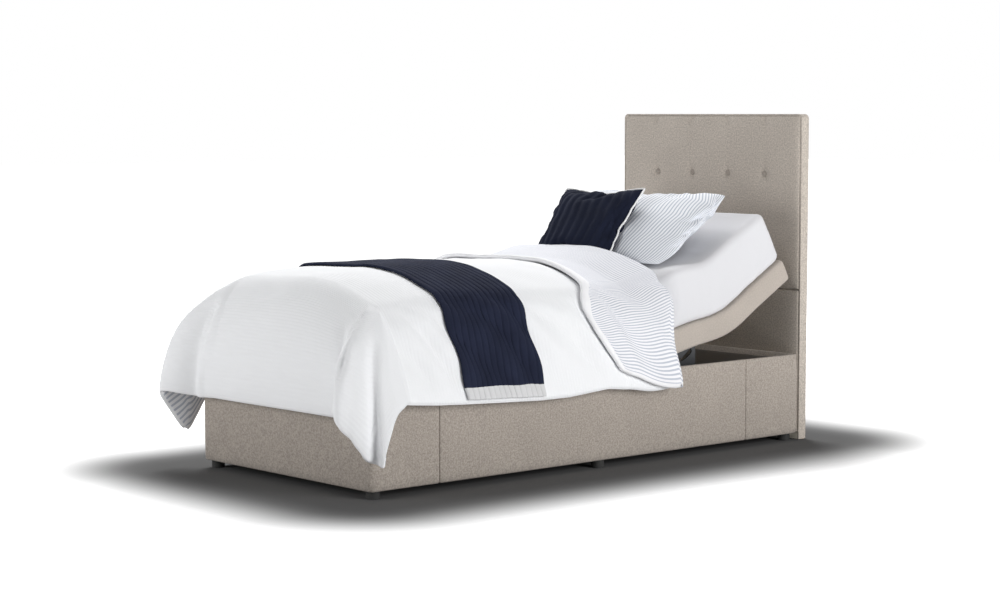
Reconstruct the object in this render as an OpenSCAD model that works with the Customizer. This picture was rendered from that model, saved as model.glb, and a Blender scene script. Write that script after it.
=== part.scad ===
// Upholstered single adjustable bed: a fabric-covered box and headboard around a steel frame,
// with a padded deck in five hinged sections, two linear drives, and its mattress and bedding.
// Millimetres. X is the width, Y runs from the foot end to the headboard, Z is up.

/* [Box] */
// Width of the upholstered box and of the headboard
bed_w = 920; // [860:10:1000]
// Length of the upholstered box
bed_l = 2000; // [1960:10:2040]
// Height of the box panels
box_h = 293; // [285:1:305]
// Height of the glides under the box
glide_h = 26; // [18:1:34]
// Radius of a glide
glide_r = 22; // [16:1:28]
// Thickness of the box panels
panel_t = 20; // [16:1:24]
// Length of the side returns of the two end surrounds
return_l = 280; // [220:5:340]
// Outside radius of the box corners
corner_r = 14; // [6:1:18]
// Seam gap between two box panels
seam_gap = 1; // [0.5:0.1:2]

/* [Headboard] */
// Height of the headboard
headboard_h = 1200; // [1100:10:1300]
// Gap between the box and the headboard
headboard_gap = 6; // [3:1:12]
// Thickness of the padded front panels
headboard_pad_t = 20; // [16:1:26]
// Thickness of the headboard's board
headboard_core_t = 20; // [16:1:24]
// Thickness of the lining on the back
lining_t = 4; // [2:0.5:6]
// Height of the seam between the two front panels
headboard_seam_z = 554; // [450:1:640]
// Thickness of the padded border round the headboard's edge
border_t = 6; // [4:1:8]
// Height of the button row
button_z = 978; // [900:1:1050]
// Number of buttons
button_count = 4; // [2:1:5]
// Distance between two buttons
button_pitch = 184; // [120:1:200]
// Radius of a button
button_r = 12; // [8:1:16]
// Depth of the dimple round a button
dimple_depth = 7; // [4:1:9]

/* [Deck] */
// How far the deck's sides lie in from the box's sides
deck_in = 5; // [3:0.5:30]
// How far the deck's foot end lies in from the box's foot end
deck_foot_in = 10; // [8:1:30]
// How far the deck's head end lies in from the box's head end when it lies flat
deck_head_in = 5; // [4:1:20]
// Thickness of the padded deck
deck_t = 85; // [80:1:95]
// Gap between the box and the deck when it lies flat
deck_gap = 6; // [4:1:10]
// Thickness of the deck's padded sides
skirt_t = 10; // [8:1:12]
// Thickness of the deck boards
deck_board_t = 12; // [9:1:15]
// Position of the hinge between the seat and the lumbar section
seat_head_y = 190; // [170:1:210]
// Length of the seat section
seat_l = 250; // [235:1:270]
// Length of the lumbar section
lumbar_l = 454; // [440:1:480]
// Length of the thigh section
thigh_l = 320; // [300:1:340]

/* [Rest position] */
// Rise of the lumbar section
lumbar_rest = 12; // [6:0.5:14]
// Rise of the upper back section from the lumbar section
upper_rest = 17.5; // [10:0.5:19]
// How far the lumbar section can still rise
lumbar_more = 12; // [6:0.5:12]
// How far the thigh section can rise
thigh_more = 35; // [20:0.5:35]
// Fold of the calf section for each degree of the thigh section
calf_ratio = 1.5; // [1.45:0.01:1.55]

/* [Steel frame] */
// Side of the square tubes of the deck's frames
tube = 25; // [20:1:25]
// Wall of the steel tubes
tube_wall = 2; // [1.5:0.5:3]
// Height of the rails fixed in the box
rail_h = 40; // [30:1:50]
// Width of the rails fixed in the box
rail_w = 20; // [16:1:24]
// Thickness of the cover board that lines the box under the deck
cover_t = 18; // [12:1:22]
// Depth of the cover board below the box's rim
cover_drop = 19; // [12:1:24]
// Thickness of a hinge lug
lug_t = 4; // [3:0.5:4]
// Radius of a hinge lug's round end
lug_r = 12; // [10:0.5:12]
// Radius of a hinge pin
pin_r = 5; // [4:0.5:6]
// Radius of a frame bolt
bolt_r = 4; // [3:0.5:5]

/* [Drives] */
// Distance from a deck hinge down to its drive's front pin
arm_l = 150; // [145:1:155]
// Sideways distance of each drive from the middle
drive_x = 90; // [70:1:120]
// Radius of a drive's outer tube
drive_tube_r = 17; // [15:0.5:19]
// Radius of a drive's rod
drive_rod_r = 11; // [9:0.5:12]
// Radius of a drive's motor
motor_r = 30; // [24:1:32]
// Length of a drive's motor
motor_l = 120; // [90:1:150]

/* [Back tilt guide] */
// Length of the tail arms behind the upper back's hinge
tail_l = 210; // [205:1:215]
// Drop of the tail arms' studs below the deck's middle
tail_drop = 35; // [34:1:37]
// Radius of a guide stud
stud_r = 9; // [7:0.5:10]
// Thickness of a guide plate and of a tail arm
guide_t = 6; // [5:0.5:8]

/* [Mattress] */
// How far the mattress's sides lie in from the box's sides
mattress_in = 10; // [6:1:30]
// Thickness of the mattress
mattress_t = 205; // [180:5:220]
// Radius of the mattress's long edges
mattress_r = 28; // [15:1:40]

/* [Bedding] */
// Thickness of the duvet over the mattress
duvet_t = 60; // [45:1:70]
// Thickness of the duvet where it hangs at the sides
duvet_side_t = 32; // [24:1:40]
// Height of the duvet's hem above the floor
duvet_hem_z = 270; // [240:5:300]
// Where the duvet's folded edge lies, from the lumbar hinge
duvet_fold_y = 120; // [100:1:130]
// Width of the part of the duvet that is turned down
flap_l = 290; // [240:5:310]
// Thickness of the part of the duvet that is turned down
flap_t = 14; // [10:1:18]
// Height of the lowest tip of the duvet's foot corners
corner_tip_z = 105; // [90:5:140]
// Width of the throw
throw_l = 330; // [280:5:360]
// How far the throw's foot-side edge lies from the box's foot end
throw_in = 345; // [320:5:380]
// Thickness of the throw
throw_t = 6; // [4:1:8]
// Height of the throw's lower edge above the floor
throw_hem_z = 298; // [285:1:320]
// Width of the pillow
pillow_w = 700; // [640:5:740]
// Height of the pillow
pillow_h = 410; // [390:5:430]
// Thickness of the pillow
pillow_t = 150; // [130:5:165]
// Width of the cushion
cushion_w = 400; // [380:5:430]
// Height of the cushion
cushion_h = 370; // [340:5:390]
// Thickness of the cushion
cushion_t = 110; // [90:5:120]
// Sideways place of the cushion's middle
cushion_x = -100; // [-120:5:120]

/* [Hidden] */
$fn = 48;

// Running and seating clearances
pin_gap = 0.05;
hinge_gap = 0.6;
lug_gap = 0.5;
soft_gap = 0.4;
stud_gap = 0.8;
relief_deg = 0.4;

// Box
half_w = bed_w / 2;
half_l = bed_l / 2;
box_top = glide_h + box_h;
inner_x = half_w - panel_t;
inner_y = half_l - panel_t;
seam_y = half_l - return_l;
cover_top = box_top - cover_drop;
cover_z = cover_top - cover_t;
block_w = 60;
batten_t = 20;
glide_in = 15;
glide_side_in = 4;
window_margin = 80;
tip_gap = 1;
wall_left = 3;

// Headboard
headboard_t = headboard_pad_t + headboard_core_t + lining_t;
headboard_y = half_l + headboard_gap;
core_y = headboard_y + headboard_pad_t;
back_y = headboard_y + headboard_t;
headboard_r = 18;
border_back = 2;
lining_in = 3;
spacer_r = 20;
button_t = 3;
button_dome = 4;
fixing_x = 300;
fixing_z = [110, 230];
bolt_head_r = 8;
bolt_head_t = 4;

// Deck: the hinges' height, and each hinge's place along the bed when the deck lies flat
deck_w = bed_w - 2 * deck_in;
deck_z = box_top + deck_gap + deck_t / 2;
lumbar_y = seat_head_y;
thigh_y = seat_head_y - seat_l;
calf_y = thigh_y - thigh_l;
upper_l = half_l - deck_head_in - lumbar_y - lumbar_l;
calf_l = half_l - deck_foot_in + calf_y;
skirt_x = deck_w / 2 - skirt_t;
board_z = tube / 2;
board_top = board_z + deck_board_t;
pad_top = deck_t / 2;
tube_end_gap = 20;
end_wall_t = 10;
end_gap = 2;
board_gap = 0.5;
tube_side_gap = 25;
pad_r = 8;

// Half of the angle that each hinge closes through, as relief on both of its sections
lumbar_relief = (lumbar_rest + lumbar_more) / 2 + relief_deg;
upper_ratio = upper_rest / lumbar_rest;
upper_relief = lumbar_relief * upper_ratio;
thigh_relief = thigh_more / 2 + relief_deg;
calf_relief = thigh_more * calf_ratio / 2 + relief_deg;

// Steel frame
rail_z = cover_z - rail_h;
rail_x = inner_x - batten_t;
rail_y = inner_y - block_w - 5;
rail_bolt_y = [-seam_y, 0, seam_y];
cross_w = 30;
cross_y = [-800, -290, 400, 800];
post_w = 20;
post_in = 45;
post_y = [thigh_y + post_in, lumbar_y - post_in];
plate_t = 4;
plate_l = 44;
seat_bolt_x = 22;
lug_reach = tube_end_gap + 25;
pin_head_t = 3;
pin_head_r = pin_r + 3;
cross_in = 50;

// Cross tubes of each section's frame, as places in that section's own frame
seat_cross_in = 80;
tail_room = 64;
thigh_cross_in = 75;
seat_cross = [seat_cross_in - seat_l, -70];
lumbar_cross = [cross_in, lumbar_l - tail_l - tail_room];
thigh_cross = [-thigh_cross_in, cross_in - thigh_l];
upper_end = upper_l - end_wall_t - end_gap;
upper_cross = [cross_in - 10, upper_end - tube];
calf_end = end_wall_t + end_gap - calf_l;
calf_cross = [calf_end, -calf_l / 2, -cross_in - 10];

// Drives: each lies level, at the middle height of its front pin's swing
eye_r = 14;
eye_w = 14;
ear_t = 5;
ear_gap = 1;
head_half = max(lumbar_rest, lumbar_more);
foot_half = thigh_more / 2;
head_drive_z = deck_z - arm_l * (1 + cos(head_half)) / 2;
foot_drive_z = deck_z - arm_l * (1 + cos(foot_half)) / 2;
head_back_y = cross_y[1];
foot_back_y = cross_y[2];
head_pin_l = lumbar_y - head_back_y;
foot_pin_l = foot_back_y - thigh_y - arm_l * sin(foot_half);
head_travel = arm_l * sin(lumbar_rest);
gearbox_y = 22;
gearbox_l = 66;
gearbox_w = 64;
gearbox_rim = 6;
neck_t = 20;
motor_gap = 4;
motor_z = -(drive_tube_r + motor_r + motor_gap);
gland_l = 12;
rod_in = 54;
neck_l = 22;
bracket_r = eye_r + 2;

// Back tilt guide: the stud's place for each rise of the lumbar section from flat
tail_x = 350;
tail_gap = 1;
guide_x = tail_x + guide_t + tail_gap;
stud_neck_r = 4;
tail_end_r = 12;
tail_over = 20;
tail_half = 10;
tail_root = [30, 8];
stud_head_r = 7;
function stud_at(rise) = let (turn = rise * (1 + upper_ratio)) [
    lumbar_y + lumbar_l * cos(rise) - tail_l * cos(turn) + tail_drop * sin(turn),
    deck_z + lumbar_l * sin(rise) - tail_l * sin(turn) - tail_drop * cos(turn)
];
rise_max = lumbar_rest + lumbar_more;
stud_steps = 12;
guide_rim = 8;
guide_margin = 28;
guide_foot_w = 26;

// Skids under the calf section
skid_in = 50;
skid_y = calf_l - skid_in;
skid_r = 20;
skid_half = 10;
track_t = 12;
track_in = 8;
track_out = 16;
track_foot = 25;
track_head = 140;

// Control box under the cover board, with its power inlet
control_size = [140, 200, 36];
control_in = 100;
control_y = -200;
control_low = [inner_x - control_in - control_size.x, control_y];
inlet_size = [30, 12, 22];
inlet_x = 55;
inlet_rim = 5;
inlet_drop = 8;

// Bedding
mattress_w = bed_w - 2 * mattress_in;
mattress_top = pad_top + mattress_t;
filler_drop = 8;
cover_gap = 5;
duvet_x = half_w + cover_gap;
duvet_low = duvet_hem_z - deck_z;
duvet_top = mattress_top + duvet_t;
duvet_r = 150;
duvet_turned_t = 26;
turned_r = 85;
turned_top = mattress_top + duvet_turned_t;
crown_over = 15;
crown_half = duvet_x + duvet_side_t - duvet_r + crown_over;
foot_edge_r = 210;
crown_h = 26;
crown_r = (crown_half * crown_half + crown_h * crown_h) / (2 * crown_h);
foot_y = -(half_l + 3);
foot_hem_z = 250;
throw_y = throw_in - half_l;
flap_hem_z = 262;
flap_over = 2;
deep = 500;

// Foot corners of the duvet: each ball's place outside the bed's side, its height and its radius
corner_folds = [[-34, 540, 20], [28, 320, 22], [46, corner_tip_z + 12, 12]];

// Places of the pillow and the cushion, in the lumbar section's own frame
pillow_y = lumbar_l - 13;
pillow_sink = 8;
cushion_y = 325;
cushion_rise = 116;
cushion_z = mattress_top + cushion_rise;
cushion_lean = 40;
belly = 0.42;

// A line through a hinge that leans by an angle, as a region on the head side of it
function beyond(y, lean_up, lean_down, reach = 400) = [
    [y + reach * tan(lean_down), -reach], [y, 0], [y + reach * tan(lean_up), reach]
];

// The side view that a deck section may fill, from its foot-side end to its head-side end
module between(from_y, to_y, foot_up = 0, foot_down = 0, head_up = 0, head_down = 0) {
    foot_line = beyond(from_y + hinge_gap, foot_up, foot_down);
    head_line = beyond(to_y - hinge_gap, -head_up, -head_down);
    rotate([90, 0, 90])
        linear_extrude(height = 2 * bed_w, center = true)
            polygon(concat(foot_line, [for (i = [2:-1:0]) head_line[i]]));
}

module at_lumbar() { translate([0, lumbar_y, deck_z]) rotate([lumbar_rest, 0, 0]) children(); }
module at_upper() { at_lumbar() translate([0, lumbar_l, 0]) rotate([upper_rest, 0, 0]) children(); }
module at_seat() { translate([0, lumbar_y, deck_z]) children(); }
module at_thigh() { translate([0, thigh_y, deck_z]) children(); }
module at_calf() { translate([0, calf_y, deck_z]) children(); }

module seat_space() { between(-seat_l, 0, thigh_relief, 0, lumbar_relief, 0); }
module lumbar_space() { between(0, lumbar_l, lumbar_relief, 0, upper_relief, 0); }
module upper_space() { between(0, upper_l, upper_relief, 0, 0, 0); }
module thigh_space() { between(-thigh_l, 0, 0, calf_relief, thigh_relief, 0); }
module calf_space() { between(-calf_l, 0, 0, 0, 0, calf_relief); }

module both_sides() { children(); mirror([1, 0, 0]) children(); }

// A box between two corners
module block(low, high) { translate(low) cube(high - low); }

// A rectangle with round corners, centred
module rounded(w, h, r) {
    square([w - 2 * r, h], center = true);
    square([w, h - 2 * r], center = true);
    for (x = [-1, 1], y = [-1, 1])
        translate([x * (w / 2 - r), y * (h / 2 - r)]) circle(r);
}

// A hollow square tube between two corners, open along one axis (0 = X, 1 = Y, 2 = Z)
module box_tube(low, high, axis) {
    wall = [for (i = [0:2]) i == axis ? -1 : tube_wall];
    difference() {
        block(low, high);
        block(low + wall, high - wall);
    }
}

// A round bar along X from one x to another
module bar_x(x0, x1, r) { translate([x0, 0, 0]) rotate([0, 90, 0]) cylinder(h = x1 - x0, r = r); }

// A round bar along Y from one y to another
module bar_y(y0, y1, r) { translate([0, y0, 0]) rotate([-90, 0, 0]) cylinder(h = y1 - y0, r = r); }

// A flat plate that lies in the YZ plane, from x0 outwards
module side_plate(x0, t) { translate([x0, 0, 0]) rotate([90, 0, 90]) linear_extrude(height = t) children(); }

// ---------- Box ----------

module box_wall() {
    difference() {
        rounded(bed_w, bed_l, corner_r);
        square([2 * inner_x, 2 * inner_y], center = true);
    }
}

module end_surround() {
    translate([0, 0, glide_h]) linear_extrude(height = box_h) intersection() {
        box_wall();
        translate([-bed_w, seam_y + seam_gap / 2]) square([2 * bed_w, bed_l]);
    }
}

module foot_surround() { color("#887e76") mirror([0, 1, 0]) end_surround(); }

module head_surround() {
    color("#b0a89f") difference() {
        end_surround();
        at_fixings() bar_y(inner_y - 1, half_l + 1, bolt_r + pin_gap);
    }
}

module side_panel() {
    y = seam_y - seam_gap / 2;
    block([inner_x, -y, glide_h], [half_w, y, box_top]);
}

module left_panel() { color("#a09890") mirror([1, 0, 0]) side_panel(); }
module right_panel() { color("#a09890") side_panel(); }

module joining_blocks() {
    color("burlywood") both_sides() {
        for (y = rail_bolt_y)
            difference() {
                block([rail_x, y - block_w / 2, glide_h], [inner_x, y + block_w / 2, cover_z]);
                translate([0, y, rail_z + rail_h / 2])
                    bar_x(rail_x - 1, inner_x - wall_left, bolt_r + pin_gap);
            }
        for (side = [-1, 1])
            translate([inner_x, side * inner_y, glide_h])
                linear_extrude(height = cover_z - glide_h)
                    polygon([[0, 0], [-block_w, 0], [0, -side * block_w]]);
    }
}

module glides() {
    color("#2b2a29") both_sides() for (y = [glide_in - inner_y, 0, inner_y - glide_in])
        translate([inner_x - (y == 0 ? glide_side_in : glide_in), y, 0])
            cylinder(h = glide_h, r = glide_r);
}

module cover_board() {
    color("#3c3835") difference() {
        translate([0, 0, cover_z]) linear_extrude(height = cover_t) difference() {
            square([2 * (inner_x - board_gap), 2 * (inner_y - board_gap)], center = true);
            translate([-drive_x - window_margin, cross_y[1] + cross_w / 2])
                square([2 * (drive_x + window_margin), cross_y[2] - cross_y[1] - cross_w]);
        }
        at_seat_bolts() translate([0, 0, -cover_t]) cylinder(h = 2 * cover_t, r = bolt_r + pin_gap);
    }
}

// ---------- Headboard ----------

module headboard_outline(inset) {
    w = bed_w - 2 * inset;
    r = headboard_r - inset;
    h = headboard_h - inset;
    translate([-w / 2, 0]) square([w, h - r]);
    translate([-w / 2 + r, 0]) square([w - 2 * r, h]);
    for (side = [-1, 1]) translate([side * (w / 2 - r), h - r]) circle(r);
}

// A slice of the headboard from one y to another, between two heights
module headboard_slice(y0, y1, z0, z1, inset) {
    translate([0, y1, 0]) rotate([90, 0, 0]) linear_extrude(height = y1 - y0) intersection() {
        headboard_outline(inset);
        translate([-bed_w, z0]) square([2 * bed_w, z1 - z0]);
    }
}

module at_buttons() {
    for (i = [0:button_count - 1])
        translate([(i - (button_count - 1) / 2) * button_pitch, headboard_y, button_z]) children();
}

module at_fixings() { for (x = [-fixing_x, fixing_x], z = fixing_z) translate([x, 0, z]) children(); }

module headboard_core() {
    color("tan") difference() {
        headboard_slice(core_y, core_y + headboard_core_t, 0, headboard_h, border_t);
        at_fixings()
            bar_y(core_y - 1, core_y + headboard_core_t - wall_left, bolt_r + pin_gap);
    }
}

module headboard_upper_pad() {
    dimple_r = 3 * button_r;
    color("#aaa198") difference() {
        headboard_slice(headboard_y, core_y, headboard_seam_z + seam_gap / 2, headboard_h, border_t);
        at_buttons() {
            translate([0, dimple_depth - dimple_r, 0]) sphere(dimple_r);
            bar_y(0, dimple_depth + button_t, button_r);
        }
    }
}

module headboard_buttons() {
    color("#9a9188") at_buttons() {
        bar_y(dimple_depth - 1, dimple_depth + button_t, button_r);
        intersection() {
            translate([0, dimple_depth - 1, 0]) scale([1, button_dome / button_r, 1]) sphere(button_r);
            bar_y(-button_dome, dimple_depth, button_r);
        }
    }
}

module headboard_lower_pad() {
    color("#aaa198") difference() {
        headboard_slice(headboard_y, core_y, glide_h, headboard_seam_z - seam_gap / 2, border_t);
        at_fixings() bar_y(headboard_y - 1, core_y + 1, bolt_r + pin_gap);
    }
}

module headboard_border() {
    y0 = headboard_y + border_back;
    color("#c0b7ad") difference() {
        headboard_slice(y0, back_y - lining_t, border_back, headboard_h, 0);
        headboard_slice(y0 - 1, back_y, -1, headboard_h, border_t);
    }
}

module headboard_lining() {
    color("#5a5653") headboard_slice(back_y - lining_t, back_y, border_back, headboard_h, lining_in);
}

module headboard_base_strip() {
    color("#e9e2d2")
        headboard_slice(headboard_y + border_back, core_y, border_back, glide_h - board_gap, border_t);
}

module headboard_spacers() {
    color("#2b2a29") at_fixings() difference() {
        bar_y(half_l, headboard_y, spacer_r);
        bar_y(half_l - 1, headboard_y + 1, bolt_r + pin_gap);
    }
}

module headboard_bolts() {
    color("silver") at_fixings() {
        bar_y(inner_y - bolt_head_t, inner_y, bolt_head_r);
        bar_y(inner_y - 1, core_y + headboard_core_t - wall_left - tip_gap, bolt_r);
    }
}

// ---------- Steel frame in the box ----------

module frame_rails() {
    color("#33363a") both_sides() difference() {
        box_tube([rail_x - rail_w, -rail_y, rail_z], [rail_x, rail_y, cover_z], 1);
        for (y = rail_bolt_y) translate([0, y, rail_z + rail_h / 2])
            bar_x(rail_x - rail_w - 1, rail_x + 1, bolt_r + pin_gap);
    }
}

// Two ears that hold a drive's rear pin under a cross member
module rear_ears(x, y, z) {
    translate([x, y, z]) both_sides() side_plate(eye_w / 2 + ear_gap, ear_t) difference() {
        union() {
            circle(bracket_r);
            translate([-bracket_r, 0]) square([2 * bracket_r, rail_z - z]);
        }
        circle(pin_r + pin_gap);
    }
}

module cross_members() {
    x = rail_x - rail_w;
    color("#33363a") {
        for (y = cross_y)
            box_tube([-x, y - cross_w / 2, rail_z], [x, y + cross_w / 2, cover_z], 0);
        rear_ears(drive_x, head_back_y, head_drive_z);
        rear_ears(-drive_x, foot_back_y, foot_drive_z);
    }
}

module at_seat_bolts() {
    both_sides() for (y = post_y)
        translate([tube_x(0) - tube / 2 - seat_bolt_x, y, cover_top]) children();
}

module frame_bolts() {
    color("silver") {
        both_sides() for (y = rail_bolt_y) translate([0, y, rail_z + rail_h / 2]) {
            bar_x(rail_x - rail_w - bolt_head_t, rail_x - rail_w, bolt_head_r);
            bar_x(rail_x - rail_w - 1, inner_x - wall_left - tip_gap, bolt_r);
        }
        at_seat_bolts() {
            translate([0, 0, plate_t]) cylinder(h = bolt_head_t, r = bolt_head_r);
            translate([0, 0, -cover_t]) cylinder(h = cover_t + plate_t + 1, r = bolt_r);
        }
    }
}

// ---------- Deck sections ----------

// Outer face of a section's side tubes: each section hinges just outside the one before it
function tube_x(step) = skirt_x - tube_side_gap + step * (lug_t + lug_gap);

// Two side tubes from one end to the other, with cross tubes at the given places
module section_frame(step, from_y, to_y, cross_at) {
    x = tube_x(step);
    both_sides() box_tube([x - tube, from_y, -tube / 2], [x, to_y, tube / 2], 1);
    for (y = cross_at) box_tube([tube - x, y, -tube / 2], [x - tube, y + tube, tube / 2], 0);
}

// Hinge lugs on both sides at y, running back to the tubes in the direction dir
module lugs(step, y, dir) {
    both_sides() translate([0, y, 0]) side_plate(tube_x(step), lug_t) difference() {
        union() {
            circle(lug_r);
            translate([dir > 0 ? 0 : -lug_reach, -lug_r]) square([lug_reach, 2 * lug_r]);
        }
        circle(pin_r + pin_gap);
    }
}

// Headed hinge pins through this section's lugs and the next section's
module hinge_pins(step, y) {
    x = tube_x(step);
    far = x + 2 * lug_t + 2 * lug_gap;
    both_sides() translate([0, y, 0]) {
        bar_x(x - pin_head_t, x, pin_head_r);
        bar_x(x - 1, far + 1, pin_r);
        bar_x(far, far + pin_head_t, pin_head_r);
    }
}

module section_board(from_y, to_y) {
    block([board_gap - skirt_x, from_y, board_z], [skirt_x - board_gap, to_y, board_top]);
}

// The padded shell over a section: foam on top and a padded side along each edge
module section_pad(from_y, to_y) {
    translate([0, to_y, 0]) rotate([90, 0, 0]) linear_extrude(height = to_y - from_y) difference() {
        intersection() {
            translate([0, -pad_top]) rounded(deck_w, 4 * pad_top, pad_r);
            translate([-deck_w, -pad_top]) square([2 * deck_w, 2 * pad_top]);
        }
        translate([-skirt_x, -2 * pad_top]) square([2 * skirt_x, 2 * pad_top + board_top]);
    }
}

module end_wall(from_y, to_y) {
    block([-skirt_x - 1, from_y, -pad_top], [skirt_x + 1, to_y, pad_top - 1]);
}

// A stretch of mattress with round long edges
module mattress_block(from_y, to_y) {
    translate([0, to_y, pad_top + mattress_t / 2]) rotate([90, 0, 0])
        linear_extrude(height = to_y - from_y) rounded(mattress_w, mattress_t, mattress_r);
}

// A pair of bracket plates that hang from a cross tube and hold a drive's pin in a slot
module drive_bracket(x, tube_y, lean, swing) {
    drop = arm_l * (1 - cos(swing)) / 2;
    pin_y = -arm_l * sin(lean);
    pin_z = -arm_l * cos(lean);
    half = pin_r + drop + stud_gap;
    side = pin_r + drop * sin(swing) + 2 * stud_gap;
    straight = max(0, half - side);
    translate([x, 0, 0]) both_sides() side_plate(eye_w / 2 + ear_gap, ear_t) difference() {
        union() {
            translate([pin_y, pin_z]) circle(bracket_r);
            polygon([
                [tube_y, -tube / 2], [tube_y + tube, -tube / 2],
                [pin_y + bracket_r, pin_z], [pin_y - bracket_r, pin_z]
            ]);
        }
        translate([pin_y, pin_z]) rotate(-lean) {
            square([2 * side, 2 * straight + 0.1], center = true);
            for (end = [-1, 1]) translate([0, end * straight]) circle(side);
        }
    }
}

module seat_frame() {
    color("#33363a") difference() {
        union() {
            at_seat() {
                section_frame(0, tube_end_gap - seat_l, -tube_end_gap, seat_cross);
                lugs(0, 0, -1);
                lugs(0, -seat_l, 1);
            }
            both_sides() for (y = post_y) {
                x = tube_x(0) - tube / 2;
                block([x - post_w / 2, y - post_w / 2, cover_top],
                      [x + post_w / 2, y + post_w / 2, deck_z - tube / 2]);
                block([x - plate_l + post_w / 2, y - plate_l / 2, cover_top],
                      [x + post_w / 2, y + plate_l / 2, cover_top + plate_t]);
            }
        }
        at_seat_bolts() translate([0, 0, -1]) cylinder(h = plate_t + 2, r = bolt_r + pin_gap);
    }
}

module seat_board() {
    color("burlywood") at_seat() intersection() {
        section_board(-seat_l, 0);
        seat_space();
    }
}

module seat_pad() {
    color("#bfb5aa") at_seat() intersection() {
        section_pad(-seat_l, 0);
        seat_space();
    }
}

module seat_hinge_pins() {
    color("silver") at_seat() {
        hinge_pins(0, 0);
        hinge_pins(0, -seat_l);
    }
}

module lumbar_frame() {
    color("#33363a") at_lumbar() {
        section_frame(1, tube_end_gap, lumbar_l - tube_end_gap, lumbar_cross);
        lugs(1, 0, 1);
        lugs(1, lumbar_l, -1);
        drive_bracket(drive_x, lumbar_cross[0], lumbar_rest, head_half);
    }
}

module lumbar_board() {
    color("burlywood") at_lumbar() intersection() {
        section_board(0, lumbar_l);
        lumbar_space();
    }
}

module lumbar_pad() {
    color("#bfb5aa") at_lumbar() intersection() {
        section_pad(0, lumbar_l);
        lumbar_space();
    }
}

module lumbar_hinge_pins() { color("silver") at_lumbar() hinge_pins(1, lumbar_l); }

module upper_frame() {
    color("#33363a") at_upper() {
        section_frame(2, tube_end_gap, upper_end, upper_cross);
        lugs(2, 0, 1);
        both_sides() side_plate(tail_x, guide_t) difference() {
            union() {
                translate([-tail_l, -tail_drop]) circle(tail_end_r);
                polygon([
                    [upper_cross[0] + tail_over, tail_half], [upper_cross[0] + tail_over, -tail_half],
                    [-tail_l, -tail_drop - tail_end_r], [-tail_l, -tail_drop + tail_end_r],
                    [-tail_root.x, tail_root.y]
                ]);
            }
            translate([-tail_l, -tail_drop]) circle(stud_neck_r + pin_gap);
        }
    }
}

module upper_board() {
    color("burlywood") at_upper() intersection() {
        section_board(0, upper_l - end_wall_t - board_gap);
        upper_space();
    }
}

module upper_pad() {
    color("#bfb5aa") at_upper() intersection() {
        union() {
            section_pad(0, upper_l);
            end_wall(upper_l - end_wall_t, upper_l);
        }
        upper_space();
    }
}

module thigh_frame() {
    color("#33363a") at_thigh() {
        section_frame(1, tube_end_gap - thigh_l, -tube_end_gap, thigh_cross);
        lugs(1, 0, -1);
        lugs(1, -thigh_l, 1);
        drive_bracket(-drive_x, thigh_cross[0], -foot_half, foot_half);
    }
}

module thigh_board() {
    color("burlywood") at_thigh() intersection() {
        section_board(-thigh_l, 0);
        thigh_space();
    }
}

module thigh_pad() {
    color("#bfb5aa") at_thigh() intersection() {
        section_pad(-thigh_l, 0);
        thigh_space();
    }
}

module thigh_hinge_pins() { color("silver") at_thigh() hinge_pins(1, -thigh_l); }

module calf_frame() {
    color("#33363a") at_calf() {
        section_frame(2, calf_end, -tube_end_gap, calf_cross);
        lugs(2, 0, -1);
    }
}

module calf_board() {
    color("burlywood") at_calf() intersection() {
        section_board(end_wall_t + board_gap - calf_l, 0);
        calf_space();
    }
}

module calf_pad() {
    color("#bfb5aa") at_calf() intersection() {
        union() {
            section_pad(-calf_l, 0);
            end_wall(-calf_l, end_wall_t - calf_l);
        }
        calf_space();
    }
}

// Nylon skids under the calf section, and the tracks that they slide on
skid_x = tube_x(2) - tube / 2;
track_top = cover_top + track_t;

module calf_skids() {
    low = track_top + soft_gap - deck_z;
    color("ivory") at_calf() both_sides() translate([skid_x, -skid_y, 0]) {
        translate([0, 0, low + skid_r]) bar_x(-skid_half, skid_half, skid_r);
        block([-skid_half, -skid_r, low + skid_r], [skid_half, skid_r, -tube / 2]);
    }
}

module calf_tracks() {
    color("#2b2a29") both_sides()
        block([skid_x - track_out, calf_y - skid_y - track_foot, cover_top],
              [skid_x + track_in, calf_y - skid_y + track_head, track_top]);
}

// ---------- Back tilt guide ----------

module guide_studs() {
    color("ivory") at_upper() both_sides() translate([0, -tail_l, -tail_drop]) {
        bar_x(tail_x - pin_head_t, tail_x, stud_head_r);
        bar_x(tail_x - 1, guide_x, stud_neck_r);
        bar_x(tail_x + guide_t, guide_x + guide_t + 1, stud_r);
    }
}

// The slot that the studs follow, as the stud's path widened to both sides
module stud_slot() {
    r = stud_r + stud_gap;
    rises = [for (i = [0:stud_steps]) rise_max * i / stud_steps];
    normals = [for (rise = rises) let (d = stud_at(rise + 0.5) - stud_at(rise - 0.5)) [-d.y, d.x] / norm(d)];
    over = [for (i = [0:stud_steps]) stud_at(rises[i]) + r * normals[i]];
    under = [for (i = [stud_steps:-1:0]) stud_at(rises[i]) - r * normals[i]];
    polygon(concat(over, under));
    for (rise = [0, rise_max]) translate(stud_at(rise)) circle(r);
}

module guide_plates() {
    low = stud_at(0);
    high = stud_at(rise_max);
    y0 = low.x - guide_margin;
    y1 = high.x + guide_margin;
    color("#6f7377") both_sides() {
        side_plate(guide_x, guide_t) difference() {
            translate([y0, cover_top]) square([y1 - y0, high.y + stud_r + guide_rim - cover_top]);
            stud_slot();
        }
        block([guide_x + guide_t, y0, cover_top],
              [guide_x + guide_t + guide_foot_w, y1, cover_top + plate_t]);
    }
}

// ---------- Drives ----------

module at_head_drive() { translate([drive_x, head_back_y, head_drive_z]) children(); }
module at_foot_drive() { translate([-drive_x, foot_back_y, foot_drive_z]) rotate([0, 0, 180]) children(); }
module at_drives() { at_head_drive() children(); at_foot_drive() children(); }

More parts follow.
